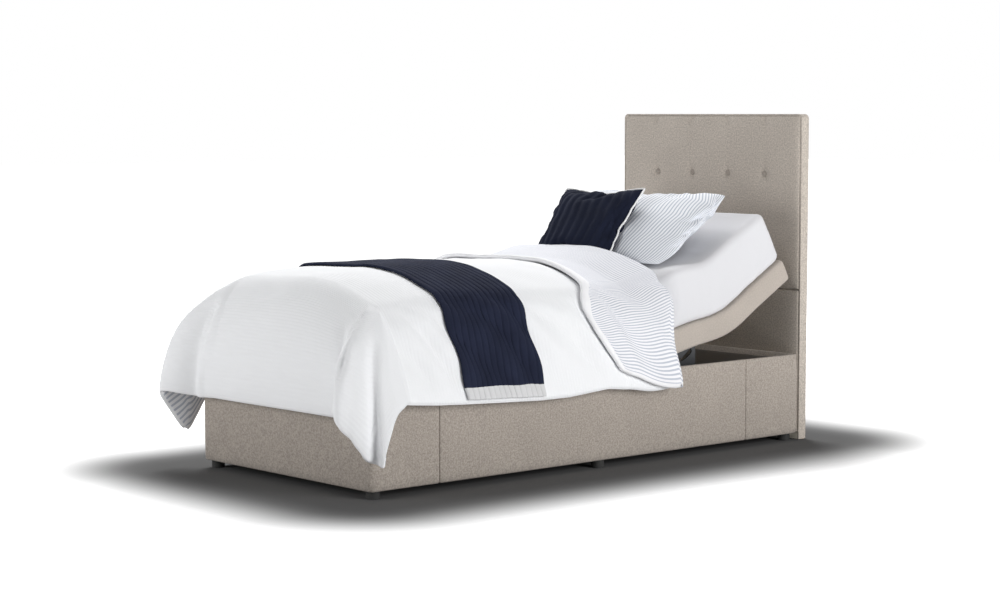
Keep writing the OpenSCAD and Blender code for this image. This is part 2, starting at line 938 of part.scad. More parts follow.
module drive_gearboxes() {
    color("#26282a") at_drives() difference() {
        union() {
            bar_x(-eye_w / 2, eye_w / 2, eye_r);
            block([-eye_w / 2, 0, -neck_t / 2], [eye_w / 2, gearbox_y + 1, neck_t / 2]);
            block([-gearbox_w / 2, gearbox_y, motor_z - motor_r - 2],
                  [gearbox_w / 2, gearbox_y + gearbox_l, drive_tube_r + gearbox_rim]);
        }
        bar_x(-eye_w, eye_w, pin_r + pin_gap);
    }
}

module drive_motors() {
    color("#4a4d50") at_drives() translate([0, 0, motor_z])
        bar_y(gearbox_y + gearbox_l, gearbox_y + gearbox_l + motor_l, motor_r);
}

module drive_tube(to_y) {
    from_y = gearbox_y + gearbox_l;
    difference() {
        bar_y(from_y, to_y, drive_tube_r);
        bar_y(from_y + gearbox_rim, to_y + 1, drive_rod_r + pin_gap);
    }
}

module drive_tubes() {
    color("silver") {
        at_head_drive() drive_tube(head_pin_l - head_travel - eye_r - gland_l);
        at_foot_drive() drive_tube(foot_pin_l - eye_r - gland_l);
    }
}

module drive_pins() {
    far = eye_w / 2 + ear_gap + ear_t;
    color("silver") at_drives() {
        bar_x(-far - 1, far + 1, pin_r);
        for (x = [-far - pin_head_t, far]) bar_x(x, x + pin_head_t, pin_head_r);
    }
}

// A rod with the cross pin that runs in the bracket's slots
module drive_rod(pin_l) {
    far = eye_w / 2 + ear_gap + ear_t + lug_gap;
    bar_y(gearbox_y + gearbox_l + rod_in, pin_l - neck_l, drive_rod_r);
    translate([0, pin_l, 0]) {
        block([-eye_w / 2, -neck_l - 1, -neck_t / 2], [eye_w / 2, 0, neck_t / 2]);
        bar_x(-eye_w / 2, eye_w / 2, eye_r);
        bar_x(-far - 1, far + 1, pin_r);
        for (x = [-far - pin_head_t, far]) bar_x(x, x + pin_head_t, pin_head_r + 1);
    }
}

module head_drive_rod() { color("gainsboro") at_head_drive() drive_rod(head_pin_l); }
module foot_drive_rod() { color("gainsboro") at_foot_drive() drive_rod(foot_pin_l); }

module at_control() { translate([control_low.x, control_low.y, cover_z - control_size.z]) children(); }

module control_box() { color("#26282a") at_control() cube(control_size); }

module power_inlet() {
    low = [inlet_x, -inlet_size.y, control_size.z - inlet_drop - inlet_size.z];
    color("#4a4d50") at_control() difference() {
        block(low, low + inlet_size);
        block(low + [inlet_rim, -1, inlet_rim], low + inlet_size - [inlet_rim, inlet_rim, inlet_rim]);
    }
}

// ---------- Mattress ----------

module mattress_seat() {
    color("white") at_seat() intersection() {
        mattress_block(-seat_l, 0);
        seat_space();
    }
}

module mattress_lumbar() {
    color("white") at_lumbar() intersection() {
        mattress_block(0, lumbar_l);
        lumbar_space();
    }
}

module mattress_upper() {
    color("white") at_upper() intersection() {
        mattress_block(0, upper_l);
        upper_space();
    }
}

module mattress_thigh() {
    color("white") at_thigh() intersection() {
        mattress_block(-thigh_l, 0);
        thigh_space();
    }
}

module mattress_calf() {
    color("white") at_calf() intersection() {
        mattress_block(-calf_l, 0);
        calf_space();
    }
}

// The wedge that is open between two stretches of mattress at a hinge, with the far one turned by rest
function turned(p, a) = [p.x * cos(a) - p.y * sin(a), p.x * sin(a) + p.y * cos(a)];
module wedge(relief, rest) {
    z0 = pad_top + 1;
    z1 = mattress_top - filler_drop;
    near = [for (z = [z0, z1]) [-z * tan(relief), z]];
    far = [for (z = [z1, z0]) turned([z * tan(relief), z], rest)];
    side_plate(mattress_r - mattress_w / 2, mattress_w - 2 * mattress_r) polygon(concat(near, far));
}

module mattress_fillers() {
    color("white") {
        at_seat() wedge(lumbar_relief, lumbar_rest);
        at_lumbar() translate([0, lumbar_l, 0]) wedge(upper_relief, upper_rest);
        at_thigh() wedge(thigh_relief, 0);
    }
}

// ---------- Bedding ----------

// The rise of the duvet's middle above its edges
module crown(top, grow = 0) {
    half = crown_half + grow;
    intersection() {
        translate([0, top + crown_h - crown_r]) circle(crown_r, $fn = 240);
        translate([-half, top - crown_h]) square([2 * half, 2 * crown_h + 1]);
    }
}

// An upside-down U that hangs over the bed, in a section's own frame
module cover_profile(grow, top, low, inner_grow, inner_top, r = duvet_r) {
    difference() {
        intersection() {
            translate([0, top - deep]) rounded(2 * (duvet_x + grow), 2 * deep, r);
            translate([-bed_w, low]) square([2 * bed_w, 2 * deep]);
        }
        translate([0, inner_top - deep])
            rounded(2 * (duvet_x + inner_grow), 2 * deep, inner_grow > 0 ? r : mattress_r / 2);
    }
}

module along_y(from_y, to_y) {
    translate([0, to_y, 0]) rotate([90, 0, 0]) linear_extrude(height = to_y - from_y) children();
}

// Trims the bedding to the duvet's rounded upper edge at the foot
module rounded_at_foot() {
    high = deck_z + duvet_top + crown_h;
    intersection() {
        children();
        rotate([90, 0, 90]) linear_extrude(height = 2 * bed_w, center = true)
            translate([bed_l - back_y, high - deep]) rounded(2 * bed_l, 2 * deep, foot_edge_r);
    }
}

// The stretch of a cover from its foot-side end to its folded edge, mitred at the lumbar hinge
module cover_over_lumbar(from_y) {
    half = lumbar_rest / 2;
    at_seat() intersection() {
        along_y(from_y - lumbar_y, duvet_fold_y) children();
        between(from_y - lumbar_y - hinge_gap, hinge_gap, 0, 0, half, -half);
    }
    at_lumbar() intersection() {
        along_y(-duvet_fold_y, duvet_fold_y) children();
        between(-hinge_gap, duvet_fold_y + hinge_gap, half, -half, 0, 0);
    }
}

module duvet() {
    flat_y = foot_y + soft_gap - lumbar_y;
    flap_y = lumbar_y + duvet_fold_y - flap_l;
    color("white") {
        rounded_at_foot() at_seat() along_y(flat_y, flap_y + 1 - lumbar_y)
            cover_profile(duvet_side_t, duvet_top, duvet_low, 0, mattress_top + soft_gap);
        rounded_at_foot() at_seat() along_y(flat_y, flap_y + 1 - lumbar_y)
            crown(duvet_top);
        cover_over_lumbar(flap_y)
            cover_profile(duvet_side_t, turned_top, duvet_low, 0, mattress_top + soft_gap, turned_r);
        cover_over_lumbar(flap_y)
            cover_profile(duvet_side_t + flap_t, turned_top + flap_t, flap_hem_z - deck_z,
                          duvet_side_t - flap_over, turned_top - flap_over, turned_r);
    }
}

module duvet_foot() {
    front_y = -back_y;
    x = duvet_x + duvet_side_t;
    color("white") {
        rounded_at_foot()
            translate([0, foot_y, 0]) rotate([90, 0, 0]) linear_extrude(height = foot_y - front_y)
                intersection() {
                    translate([0, deck_z + duvet_top - deep]) rounded(2 * x, 2 * deep, duvet_r);
                    translate([-bed_w, foot_hem_z]) square([2 * bed_w, 2 * deep]);
                }
        both_sides() hull() for (fold = corner_folds)
            translate([x + fold[0], front_y + fold[2] + 1, fold[1]]) sphere(fold[2], $fn = 24);
    }
}

module throw() {
    color("#2b2e3d") at_seat() along_y(throw_y - lumbar_y, throw_y + throw_l - lumbar_y)
        difference() {
            union() {
                cover_profile(duvet_side_t + soft_gap + throw_t, duvet_top + soft_gap + throw_t,
                              throw_hem_z - deck_z, duvet_side_t + soft_gap, duvet_top + soft_gap);
                crown(duvet_top + soft_gap + throw_t, soft_gap);
            }
            crown(duvet_top + soft_gap, soft_gap);
        }
}

// A plump closed form with thin corners
module plump(w, h, t, corner) {
    hull() {
        for (x = [-1, 1], y = [-1, 1])
            translate([x * (w / 2 - corner), y * (h / 2 - corner), 0]) sphere(corner, $fn = 16);
        scale([w * belly, h * belly, t / 2]) sphere(1, $fn = 32);
    }
}

module pillow_form() {
    at_lumbar() translate([0, pillow_y, mattress_top + pillow_t / 2 - pillow_sink])
        rotate([upper_rest, 0, 0]) plump(pillow_w, pillow_h, pillow_t, 14);
}

module cushion_form(grow) {
    at_lumbar() translate([cushion_x, cushion_y, cushion_z]) rotate([cushion_lean, 0, 0])
        plump(cushion_w + 2 * grow, cushion_h + 2 * grow, cushion_t + 2 * grow, 12 + grow);
}

// The space that the mattress under the pillow fills, with its clearance
module mattress_space() {
    at_lumbar() block([-bed_w, 0, 0], [bed_w, lumbar_l, mattress_top + soft_gap]);
    at_upper()
        block([-bed_w, -mattress_top * tan(upper_rest), 0], [bed_w, upper_l, mattress_top + soft_gap]);
}

module pillow() {
    color("#e4e5ea") difference() {
        pillow_form();
        mattress_space();
        cushion_form(soft_gap);
    }
}

module cushion() {
    color("#232631") difference() {
        cushion_form(0);
        mattress_space();
    }
}

foot_surround();
head_surround();
left_panel();
right_panel();
joining_blocks();
glides();
cover_board();
headboard_core();
headboard_upper_pad();
headboard_lower_pad();
headboard_border();
headboard_lining();
headboard_buttons();
headboard_base_strip();
headboard_spacers();
headboard_bolts();
frame_rails();
cross_members();
frame_bolts();
seat_frame();
seat_board();
seat_pad();
seat_hinge_pins();
guide_plates();
calf_tracks();
control_box();
power_inlet();
drive_gearboxes();
drive_motors();
drive_tubes();
drive_pins();
head_drive_rod();
foot_drive_rod();
lumbar_frame();
lumbar_board();
lumbar_pad();
lumbar_hinge_pins();
upper_frame();
upper_board();
upper_pad();
guide_studs();
thigh_frame();
thigh_board();
thigh_pad();
thigh_hinge_pins();
calf_frame();
calf_board();
calf_pad();
calf_skids();
mattress_seat();
mattress_lumbar();
mattress_upper();
mattress_thigh();
mattress_calf();
mattress_fillers();
duvet();
duvet_foot();
throw();
pillow();
cushion();
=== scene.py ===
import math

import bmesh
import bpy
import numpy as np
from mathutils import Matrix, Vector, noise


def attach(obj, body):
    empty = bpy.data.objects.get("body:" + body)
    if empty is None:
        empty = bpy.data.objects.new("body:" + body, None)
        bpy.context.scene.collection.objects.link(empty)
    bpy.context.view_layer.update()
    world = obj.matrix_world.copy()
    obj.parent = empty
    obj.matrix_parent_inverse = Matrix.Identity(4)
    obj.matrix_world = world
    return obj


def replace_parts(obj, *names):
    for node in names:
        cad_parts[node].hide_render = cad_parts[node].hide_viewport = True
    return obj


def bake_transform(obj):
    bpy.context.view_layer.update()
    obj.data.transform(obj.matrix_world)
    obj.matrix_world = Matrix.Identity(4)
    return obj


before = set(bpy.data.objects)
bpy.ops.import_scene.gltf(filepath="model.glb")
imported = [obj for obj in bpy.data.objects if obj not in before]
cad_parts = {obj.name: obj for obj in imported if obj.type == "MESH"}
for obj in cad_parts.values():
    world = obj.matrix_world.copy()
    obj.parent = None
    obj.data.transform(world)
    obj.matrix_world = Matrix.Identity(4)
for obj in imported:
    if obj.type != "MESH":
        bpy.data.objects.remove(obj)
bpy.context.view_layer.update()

# %% [markdown]
# # A single adjustable bed, dressed
# The frame that was just loaded holds every hard piece of the bed: the box, the hinged deck, the drives.
# This lesson gives those pieces their finishes and makes the soft pieces that hide most of them: the
# upholstery, the mattress, the duvet, the throw, the pillow and the cushion.

# %% [markdown]
# ## A few small helpers
# Paint charts and screens give colours as sRGB, but a shader works on linear light, so one function turns a
# hex value into linear red, green and blue. Another adds a shader node, sets its values and joins its
# links, so that each material below reads as a short list of what lies in it.

# %% Colour and node helpers
def linear(hex_colour):
    channels = [int(hex_colour.lstrip("#")[i:i + 2], 16) / 255 for i in (0, 2, 4)]
    return tuple(c / 12.92 if c <= 0.04045 else ((c + 0.055) / 1.055) ** 2.4 for c in channels) + (1.0,)


def add(tree, kind, inputs=None, **settings):
    """One shader node. settings are its own properties. inputs are its sockets, as values, as outputs of
    other nodes, or as other nodes, which stand for their first output."""
    node = tree.nodes.new("ShaderNode" + kind)
    for name, value in settings.items():
        setattr(node, name, value)
    for name, value in (inputs or {}).items():
        if isinstance(value, bpy.types.Node):
            value = value.outputs[0]
        if isinstance(value, bpy.types.NodeSocket):
            tree.links.new(value, node.inputs[name])
        else:
            node.inputs[name].default_value = value
    return node


def calculate(tree, operation, *values):
    return add(tree, "Math", dict(enumerate(values)), operation=operation)


def blank(name):
    """A new material with an empty node tree, ready to be filled."""
    material = bpy.data.materials.new(name)
    material.use_nodes = True
    material.node_tree.nodes.clear()
    return material, material.node_tree


def principled(material, inputs):
    """End a material with one principled surface."""
    surface = add(material.node_tree, "BsdfPrincipled", inputs)
    add(material.node_tree, "OutputMaterial", {"Surface": surface})
    return material


def put_in_scene(name, data):
    thing = bpy.data.objects.new(name, data)
    bpy.context.scene.collection.objects.link(thing)
    return thing


print("helpers ready; box fabric in linear light:", [round(c, 3) for c in linear("#a59c93")])

# %% [markdown]
# ## The camera
# The bed is seen from the foot end's right corner, a little above the mattress, from nearly eight metres
# away with a long lens. The far view keeps the box's edges almost parallel, as a catalogue picture does.
# The plain Standard view shows each colour as it is written.

# %% Camera
camera = put_in_scene("camera", bpy.data.cameras.new("camera"))
camera.location = (5.9115, -5.2834, 1.2027)
camera.rotation_euler = (math.radians(90 - 4.743), 0, math.radians(48.527))
camera.data.sensor_width = 36
camera.data.lens = 81.02
bpy.context.scene.camera = camera
bpy.context.scene.view_settings.view_transform = "Standard"
print("camera lens", camera.data.lens, "mm")

# %% [markdown]
# ## Light and floor
# The strongest lamp is large and high behind the bed, so the soft shadow falls towards the viewer. Two
# broad lamps, little higher than the bed, light its foot face and its long side but hardly reach the floor.
# Close to the box the floor's colour is painted darker: a painted shadow that deepens the real one there.
# Further out it turns paler and begins to glow with its distance from the box, so it fades into the white
# backdrop. Glow and backdrop are only seen: they light nothing.

# %% Light and floor
# place, what the lamp is aimed at, side in metres, power in watts
lamps = {"back_light": ((-3.4, 2.0, 4.4), (0, 0, 0.3), 3.4, 345),
         "side_light": ((5.6, 0.6, 1.5), (0, 0.2, 0.6), 2.6, 203),
         "foot_light": ((-1.6, -6.0, 1.7), (0, -0.2, 0.6), 3.0, 138)}
for name, (place, target, side, power) in lamps.items():
    lamp = bpy.data.lights.new(name, "AREA")
    lamp.shape, lamp.size, lamp.energy = "SQUARE", side, power
    holder = put_in_scene(name, lamp)
    holder.location = place
    holder.rotation_euler = (Vector(target) - Vector(place)).to_track_quat("-Z", "Y").to_euler()


def seen_directly(tree):
    """1 for what the camera sees, also in a mirror or through glass; 0 for light between things."""
    ray = add(tree, "LightPath").outputs
    mirrored = calculate(tree, "MAXIMUM", ray["Is Camera Ray"], ray["Is Glossy Ray"])
    return calculate(tree, "MAXIMUM", mirrored, ray["Is Transmission Ray"])


world = bpy.data.worlds.new("studio")
bpy.context.scene.world = world
world.use_nodes = True
tree = world.node_tree
tree.nodes.clear()
ambient = add(tree, "Background", {"Color": linear("#ffffff"), "Strength": 0.24})
backdrop = add(tree, "Background", {"Color": linear("#ffffff"), "Strength": 1.0})
either = add(tree, "MixShader", {0: seen_directly(tree), 1: ambient, 2: backdrop})
add(tree, "OutputWorld", {"Surface": either})

bpy.ops.mesh.primitive_plane_add(size=80, location=(0, 0, -0.0005))
floor = bpy.context.object
floor.name = "floor"
paper, tree = blank("white studio paper")
half_box = (0.47, 1.03, 0.0)    # half the ground that the bed covers
beside = add(tree, "VectorMath", {0: add(tree, "NewGeometry").outputs["Position"]}, operation="ABSOLUTE")
beyond = add(tree, "VectorMath", {0: beside, 1: half_box}, operation="SUBTRACT")
outer = add(tree, "VectorMath", {0: beyond, 1: (0.0, 0.0, 0.0)}, operation="MAXIMUM")
gap = add(tree, "VectorMath", {0: outer}, operation="LENGTH").outputs["Value"]
# painted shadow: the floor's colour is painted darker close to the box, deepening its real shadow
grey = add(tree, "MapRange", {"Value": gap, "From Min": 0.2, "From Max": 0.62,
                              "To Min": 0.15, "To Max": 0.92}, interpolation_type="SMOOTHSTEP")
fade = add(tree, "MapRange", {"Value": gap, "From Min": 0.12, "From Max": 0.95},
           interpolation_type="SMOOTHSTEP")
glow = add(tree, "Emission", {"Color": linear("#ffffff"),
                              "Strength": calculate(tree, "MULTIPLY", seen_directly(tree), fade)})
both = add(tree, "AddShader", {0: add(tree, "BsdfDiffuse", {"Color": grey}), 1: glow})
add(tree, "OutputMaterial", {"Surface": both})
floor.data.materials.append(paper)
print("lights", list(lamps))

# %% [markdown]
# ## Woven upholstery
# The box, the headboard and the deck wear the same kind of cloth: a plain weave of thick mixed yarn in a
# warm grey, with paler and darker flecks. Real yarn here is about 1.5 mm thick, too fine to show from eight
# metres, so the weave is drawn at 3 mm and the flecks at nearly 6 mm. Polyester chenille has no gloss, so
# the roughness is high, and a faint sheen brightens it where it turns away.

# %% Woven upholstery
def noise_at(tree, place, scale, detail, roughness=0.5):
    return add(tree, "TexNoise", {"Vector": place, "Scale": scale, "Detail": detail, "Roughness": roughness})


def wander(tree, value, amount, low=0.3, high=0.7):
    """A factor that wanders round 1 by the amount while a noise goes from low to high."""
    return add(tree, "MapRange", {"Value": value, "From Min": low, "From Max": high,
                                  "To Min": 1 - amount, "To Max": 1 + amount})


def shaded(tree, hex_colour, factor):
    return add(tree, "VectorMath", {0: linear(hex_colour)[:3], "Scale": factor}, operation="SCALE")


def woven(name, hex_colour, yarn=0.003, fleck=0.24, coordinates="Object"):
    """A plain weave of mixed yarn; yarn is the distance between two threads, in metres."""
    material, tree = blank(name)
    place = add(tree, "TexCoord").outputs[coordinates]
    flecks = wander(tree, noise_at(tree, place, 1 / (1.9 * yarn), 2.0, 0.75), fleck, 0.34, 0.66)
    patches = wander(tree, noise_at(tree, place, 7.0, 2.0), 0.03)
    threads = add(tree, "TexVoronoi", {"Vector": place, "Scale": 1 / yarn})
    relief = add(tree, "Bump", {"Height": threads, "Strength": 0.35, "Distance": yarn * 0.5})
    colour = shaded(tree, hex_colour, calculate(tree, "MULTIPLY", flecks, patches))
    return principled(material, {"Base Color": colour, "Roughness": 0.92, "Specular IOR Level": 0.25,
                                 "Sheen Weight": 0.12, "Sheen Roughness": 0.6, "Normal": relief})


box_cloth = woven("mushroom chenille, woven", "#a59c93")
# painted light: the headboard, its edge and the deck take copies of the box's cloth painted paler, each set
# for how brightly that part is lit
headboard_cloth = woven("mushroom chenille, headboard", "#bbb2a8", coordinates="UV")
border_cloth = woven("mushroom chenille, headboard edge", "#bdb4aa")
deck_cloth = woven("mushroom chenille, deck sides", "#b4aba2", coordinates="UV", fleck=0.08)
calico = woven("unbleached calico, woven", "#e9e2d2", yarn=0.002, fleck=0.04)
back_lining = woven("non-woven polypropylene lining", "#5a5653", yarn=0.002, fleck=0.06)
print("cloths:", [m.name for m in bpy.data.materials if "chenille" in m.name])

# %% [markdown]
# ## Cotton: sheet, duvet, stripes
# Bed linen is plain cotton, almost white. The fitted sheet is smooth jersey. The duvet cover's face is
# woven with faint raised bands across the bed, 12 mm apart, like a fine seersucker, and its reverse is
# printed with thin grey stripes along the bed. The pillow case has the same stripes, a little further
# apart. Cotton hardly shines, so a high roughness and a faint sheen are enough; folds and lint come from
# two noises.

# %% Cotton bed linen
rib_distance = 0.012


def cotton(name, hex_colour, stripe=None, pitch=0.01, share=0.4, ribs=0.0, crumple=0.35):
    """Cotton cloth on a UV map in metres. stripe is the colour of lines that lie a pitch apart and take up
    that share of it; ribs is the height of raised bands; crumple is how creased the cloth is."""
    material, tree = blank(name)
    place = add(tree, "TexCoord").outputs["UV"]
    parts = add(tree, "SeparateXYZ", {0: place}).outputs
    folds = noise_at(tree, place, 9.0, 5.0, 0.6)
    creased = calculate(tree, "MULTIPLY", folds, 0.004 * crumple)
    surface = calculate(tree, "MULTIPLY_ADD", noise_at(tree, place, 260.0, 2.0), 0.0003, creased)
    if ribs:
        wave = calculate(tree, "MULTIPLY", parts["Y"], 2 * math.pi / rib_distance)
        crest = calculate(tree, "SINE", calculate(tree, "MULTIPLY_ADD", folds, 2.5, wave))
        surface = calculate(tree, "MULTIPLY_ADD", crest, ribs, surface)
    colour = linear(hex_colour)
    if stripe:
        turn = calculate(tree, "MODULO", parts["X"], pitch)
        again = calculate(tree, "MODULO", calculate(tree, "ADD", turn, pitch), pitch)
        away = calculate(tree, "ABSOLUTE", calculate(tree, "SUBTRACT", again, pitch / 2))
        line = add(tree, "MapRange", {"Value": away, "From Min": pitch * share * 0.62,
                                      "From Max": pitch * share * 0.38})
        printed = add(tree, "Mix", {"Factor": line, "A": colour, "B": linear(stripe)}, data_type="RGBA")
        colour = printed.outputs["Result"]
    relief = add(tree, "Bump", {"Height": surface, "Strength": 1.0, "Distance": 1.0})
    return principled(material, {"Base Color": colour, "Roughness": 0.88, "Specular IOR Level": 0.2,
                                 "Sheen Weight": 0.1, "Sheen Roughness": 0.5, "Normal": relief})


sheet_cotton = cotton("white cotton jersey, fitted sheet", "#dadadd", crumple=0.3)
duvet_face = cotton("white cotton seersucker, duvet face", "#eff0f2", ribs=0.00025, crumple=0.5)
duvet_reverse = cotton("striped cotton percale, duvet reverse", "#f2f2f5", stripe="#bfc3ce", pitch=0.0088,
                       share=0.42, crumple=0.4)
duvet_edge = cotton("white cotton, rolled edge", "#f3f3f5", crumple=0.5)
pillow_cotton = cotton("striped cotton percale, pillow case", "#eceef2", stripe="#b3b9c6", pitch=0.0135,
                       share=0.36, crumple=0.4)
piping_cotton = cotton("white cotton cord, piping", "#f2f2f2", crumple=0.1)
cuff_cotton = cotton("white cotton, ribbed cuff", "#d2d2d3", crumple=0.3)
print("cottons:", [m.name for m in bpy.data.materials if "cotton" in m.name])

# %% [markdown]
# ## Navy cloth
# The throw is a heavy cotton with knitted ribs that run across the bed, and the cushion's cover is pleated
# upright. The ribs are real folds in the mesh; the material adds the yarn between them. Dyed navy cotton
# drinks light, so its colour is very dark and takes hardly any gloss.

# %% Navy cloth
def navy(name, hex_colour):
    material, tree = blank(name)
    place = add(tree, "TexCoord").outputs["UV"]
    dye = wander(tree, noise_at(tree, place, 11.0, 3.0), 0.18)
    yarn = noise_at(tree, place, 420.0, 2.0)
    relief = add(tree, "Bump", {"Height": yarn, "Strength": 0.6, "Distance": 0.0012})
    return principled(material, {"Base Color": shaded(tree, hex_colour, dye), "Roughness": 1.0,
                                 "Specular IOR Level": 0.1, "Normal": relief})


throw_cotton = navy("navy cotton, ribbed knit", "#232738")
cushion_cotton = navy("navy cotton, pleated", "#1b1f2e")
print("navy cloths:", throw_cotton.name, "and", cushion_cotton.name)

# %% [markdown]
# ## Steel, plastic and board
# Under the deck lie the pieces that do the work. Their finishes are few: black powder coat on the welded
# frames, zinc on pins and bolts, bare chrome on the drives' rods, moulded ABS on their housings, rubber,
# nylon and board. Each has its usual roughness, broken a little by noise, because no real surface is
# perfectly even.

# %% Hard finishes
def hard(name, hex_colour, roughness, metallic=0.0, grain=1e-5, scale=(400, 400, 400), tint=0.0, coat=0.0):
    """A hard finish. grain is the height of its surface marks in metres, scale is how many lie in a metre
    each way, tint is how far the colour wanders."""
    material, tree = blank(name)
    place = add(tree, "Mapping", {"Vector": add(tree, "TexCoord").outputs["Object"], "Scale": scale})
    marks = noise_at(tree, place, 1.0, 4.0, 0.65)
    rough = add(tree, "MapRange", {"Value": marks, "To Min": max(roughness - 0.08, 0.02),
                                   "To Max": min(roughness + 0.08, 1.0)})
    relief = add(tree, "Bump", {"Height": marks, "Strength": 0.5, "Distance": grain})
    colour = shaded(tree, hex_colour, wander(tree, marks, tint))
    return principled(material, {"Base Color": colour, "Metallic": metallic, "Roughness": rough,
                                 "Coat Weight": coat, "Normal": relief})


powder_coat = hard("mild steel, black powder coat", "#2b2d30", 0.45, grain=0.0002, scale=(900, 900, 900),
                   tint=0.05)
zinc = hard("steel, zinc plated", "#b9bcc0", 0.32, metallic=1.0, tint=0.06, scale=(150, 150, 150))
chrome = hard("steel rod, hard chrome", "#dcdcdc", 0.12, metallic=1.0)
alloy_tube = hard("aluminium tube, anodised", "#b8bbbe", 0.36, metallic=1.0, scale=(30, 30, 600), tint=0.03)
housing_abs = hard("ABS, moulded black", "#232527", 0.5, grain=0.00015, scale=(1500, 1500, 1500))
motor_paint = hard("steel can, grey enamel", "#4a4d50", 0.35, coat=0.2, scale=(200, 200, 200))
nylon = hard("nylon, turned", "#efece0", 0.4, scale=(200, 200, 200), tint=0.02)
black_nylon = hard("nylon, turned black", "#1d1d1e", 0.45, scale=(200, 200, 200), tint=0.03)
rubber = hard("rubber, moulded black", "#262625", 0.8, grain=0.0002, scale=(700, 700, 700), tint=0.05)
pine = hard("pine, sawn", "#d0af84", 0.7, grain=0.0004, scale=(60, 6, 60), tint=0.14)
plywood = hard("birch plywood, sanded", "#d9bd90", 0.6, grain=0.0002, scale=(90, 8, 90), tint=0.10)
laminate = hard("chipboard, black melamine face", "#383431", 0.38, scale=(60, 60, 60), tint=0.08)

finishes = [
    (pine, "joining_blocks headboard_core"), (rubber, "glides headboard_spacers calf_tracks"),
    (laminate, "cover_board"), (back_lining, "headboard_lining"), (calico, "headboard_base_strip"),
    (zinc, "headboard_bolts frame_bolts seat_hinge_pins lumbar_hinge_pins thigh_hinge_pins drive_pins"),
    (powder_coat, "frame_rails cross_members guide_plates seat_frame lumbar_frame upper_frame thigh_frame"),
    (powder_coat, "calf_frame"), (plywood, "seat_board lumbar_board upper_board thigh_board calf_board"),
    (housing_abs, "control_box power_inlet drive_gearboxes"), (motor_paint, "drive_motors"),
    (alloy_tube, "drive_tubes"), (chrome, "head_drive_rod foot_drive_rod"), (black_nylon, "guide_studs"),
    (nylon, "calf_skids"), (border_cloth, "headboard_border"), (box_cloth, "headboard_buttons"),
]
for finish, nodes in finishes:
    for node in nodes.split():
        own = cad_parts[node].data.materials
        own.clear()
        own.append(finish)

# the radius of the edges, the number of its facets, and the pieces that have them
edges = [(0.0012, 2, "seat_frame lumbar_frame upper_frame thigh_frame calf_frame frame_rails cross_members"),
         (0.0012, 2, "drive_gearboxes control_box cover_board calf_skids guide_plates"),
         (0.0028, 3, "headboard_border")]
for radius, facets, nodes in edges:
    for node in nodes.split():
        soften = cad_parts[node].modifiers.new("rounded edges", "BEVEL")
        soften.width, soften.segments, soften.limit_method = radius, facets, "ANGLE"
print("pieces with rounded edges:", sum(len(nodes.split()) for _, _, nodes in edges))

# %% [markdown]
# ## How the soft pieces are made
# Every upholstered piece here starts as a block with rounded edges, cut into a fine grid so that it can be
# dented, crowned and bent. A cube with a bevel would do for a plain box, but its big faces have no points
# to move, so the grid is laid directly: the lines crowd together near the edges, where the rounding needs
# them.

# %% Rounded blocks
def new_piece(name, points, faces, materials, uv=None, slots=None):
    """A smooth mesh object. uv is a pair in metres for each point or for each face corner; slots is one
    material number a face."""
    mesh = bpy.data.meshes.new(name)
    mesh.from_pydata([tuple(map(float, p)) for p in points], [], [tuple(map(int, f)) for f in faces])
    for material in materials:
        mesh.materials.append(material)
    mesh.polygons.foreach_set("use_smooth", [True] * len(mesh.polygons))
    if slots is not None:
        mesh.polygons.foreach_set("material_index", np.asarray(slots, dtype=np.int32))
    if uv is not None:
        uv = np.asarray(uv, dtype=np.float32)
        if len(uv) == len(points):
            corners = np.empty(len(mesh.loops), dtype=np.int32)
            mesh.loops.foreach_get("vertex_index", corners)
            uv = uv[corners]
        mesh.uv_layers.new(name="cloth").data.foreach_set("uv", uv.ravel())
    mesh.update()
    return put_in_scene(name, mesh)


def unit(vectors):
    return vectors / np.maximum(np.linalg.norm(vectors, axis=-1, keepdims=True), 1e-9)


def grid_lines(low, high, radius, step):
    """Places along one axis: even steps in the middle, and the tangents of even angles near both ends."""
    steps = math.ceil((high - low - 2 * radius) / step)
    inner = np.linspace(low + radius, high - radius, max(2, steps + 1))
    rim = radius * np.tan(np.radians([45, 30, 15]))
    return np.concatenate([low + radius - rim, inner, high - radius + rim[::-1]])


def rounded_block(low, high, radius, step):
    """Points and faces of a closed block with rounded edges."""
    low, high = np.array(low, float), np.array(high, float)
    lines = [grid_lines(a, b, radius, s) for a, b, s in zip(low, high, np.broadcast_to(step, 3))]
    points, faces, known = [], [], {}
    for axis in range(3):
        u, v = (axis + 1) % 3, (axis + 2) % 3
        for end, value in ((0, low[axis]), (1, high[axis])):
            index = np.empty((len(lines[u]), len(lines[v])), dtype=int)
            for i, a in enumerate(lines[u]):
                for j, b in enumerate(lines[v]):
                    place = [0.0, 0.0, 0.0]
                    place[axis], place[u], place[v] = value, a, b
                    key = tuple(round(c, 6) for c in place)
                    if key not in known:
                        known[key] = len(points)
                        points.append(place)
                    index[i, j] = known[key]
            for i in range(len(lines[u]) - 1):
                for j in range(len(lines[v]) - 1):
                    quad = (index[i, j], index[i + 1, j], index[i + 1, j + 1], index[i, j + 1])
                    faces.append(quad if end else quad[::-1])
    points = np.array(points)
    core = np.clip(points, low + radius, high - radius)
    return core + radius * unit(points - core), faces


def side_uv(flat_points, faces):
    """UVs in metres, by the side that each face looks to, as pairs a face corner."""
    uv = []
    for face in faces:
        corner = [flat_points[i] for i in face]
        normal = np.cross(corner[2] - corner[0], corner[3 if len(corner) > 3 else 1] - corner[1])
        u, v = ((1, 2), (0, 2), (0, 1))[int(np.argmax(np.abs(normal)))]
        uv.extend((p[u], p[v]) for p in corner)
    return np.array(uv)


def ripple(points, size, height, seed=0):
    """A smooth value between -height and +height at each point, with bumps of the given size."""
    waves = [noise.noise(Vector((p[0] / size + seed, p[1] / size, p[2] / size))) for p in points]
    return np.array(waves) * height


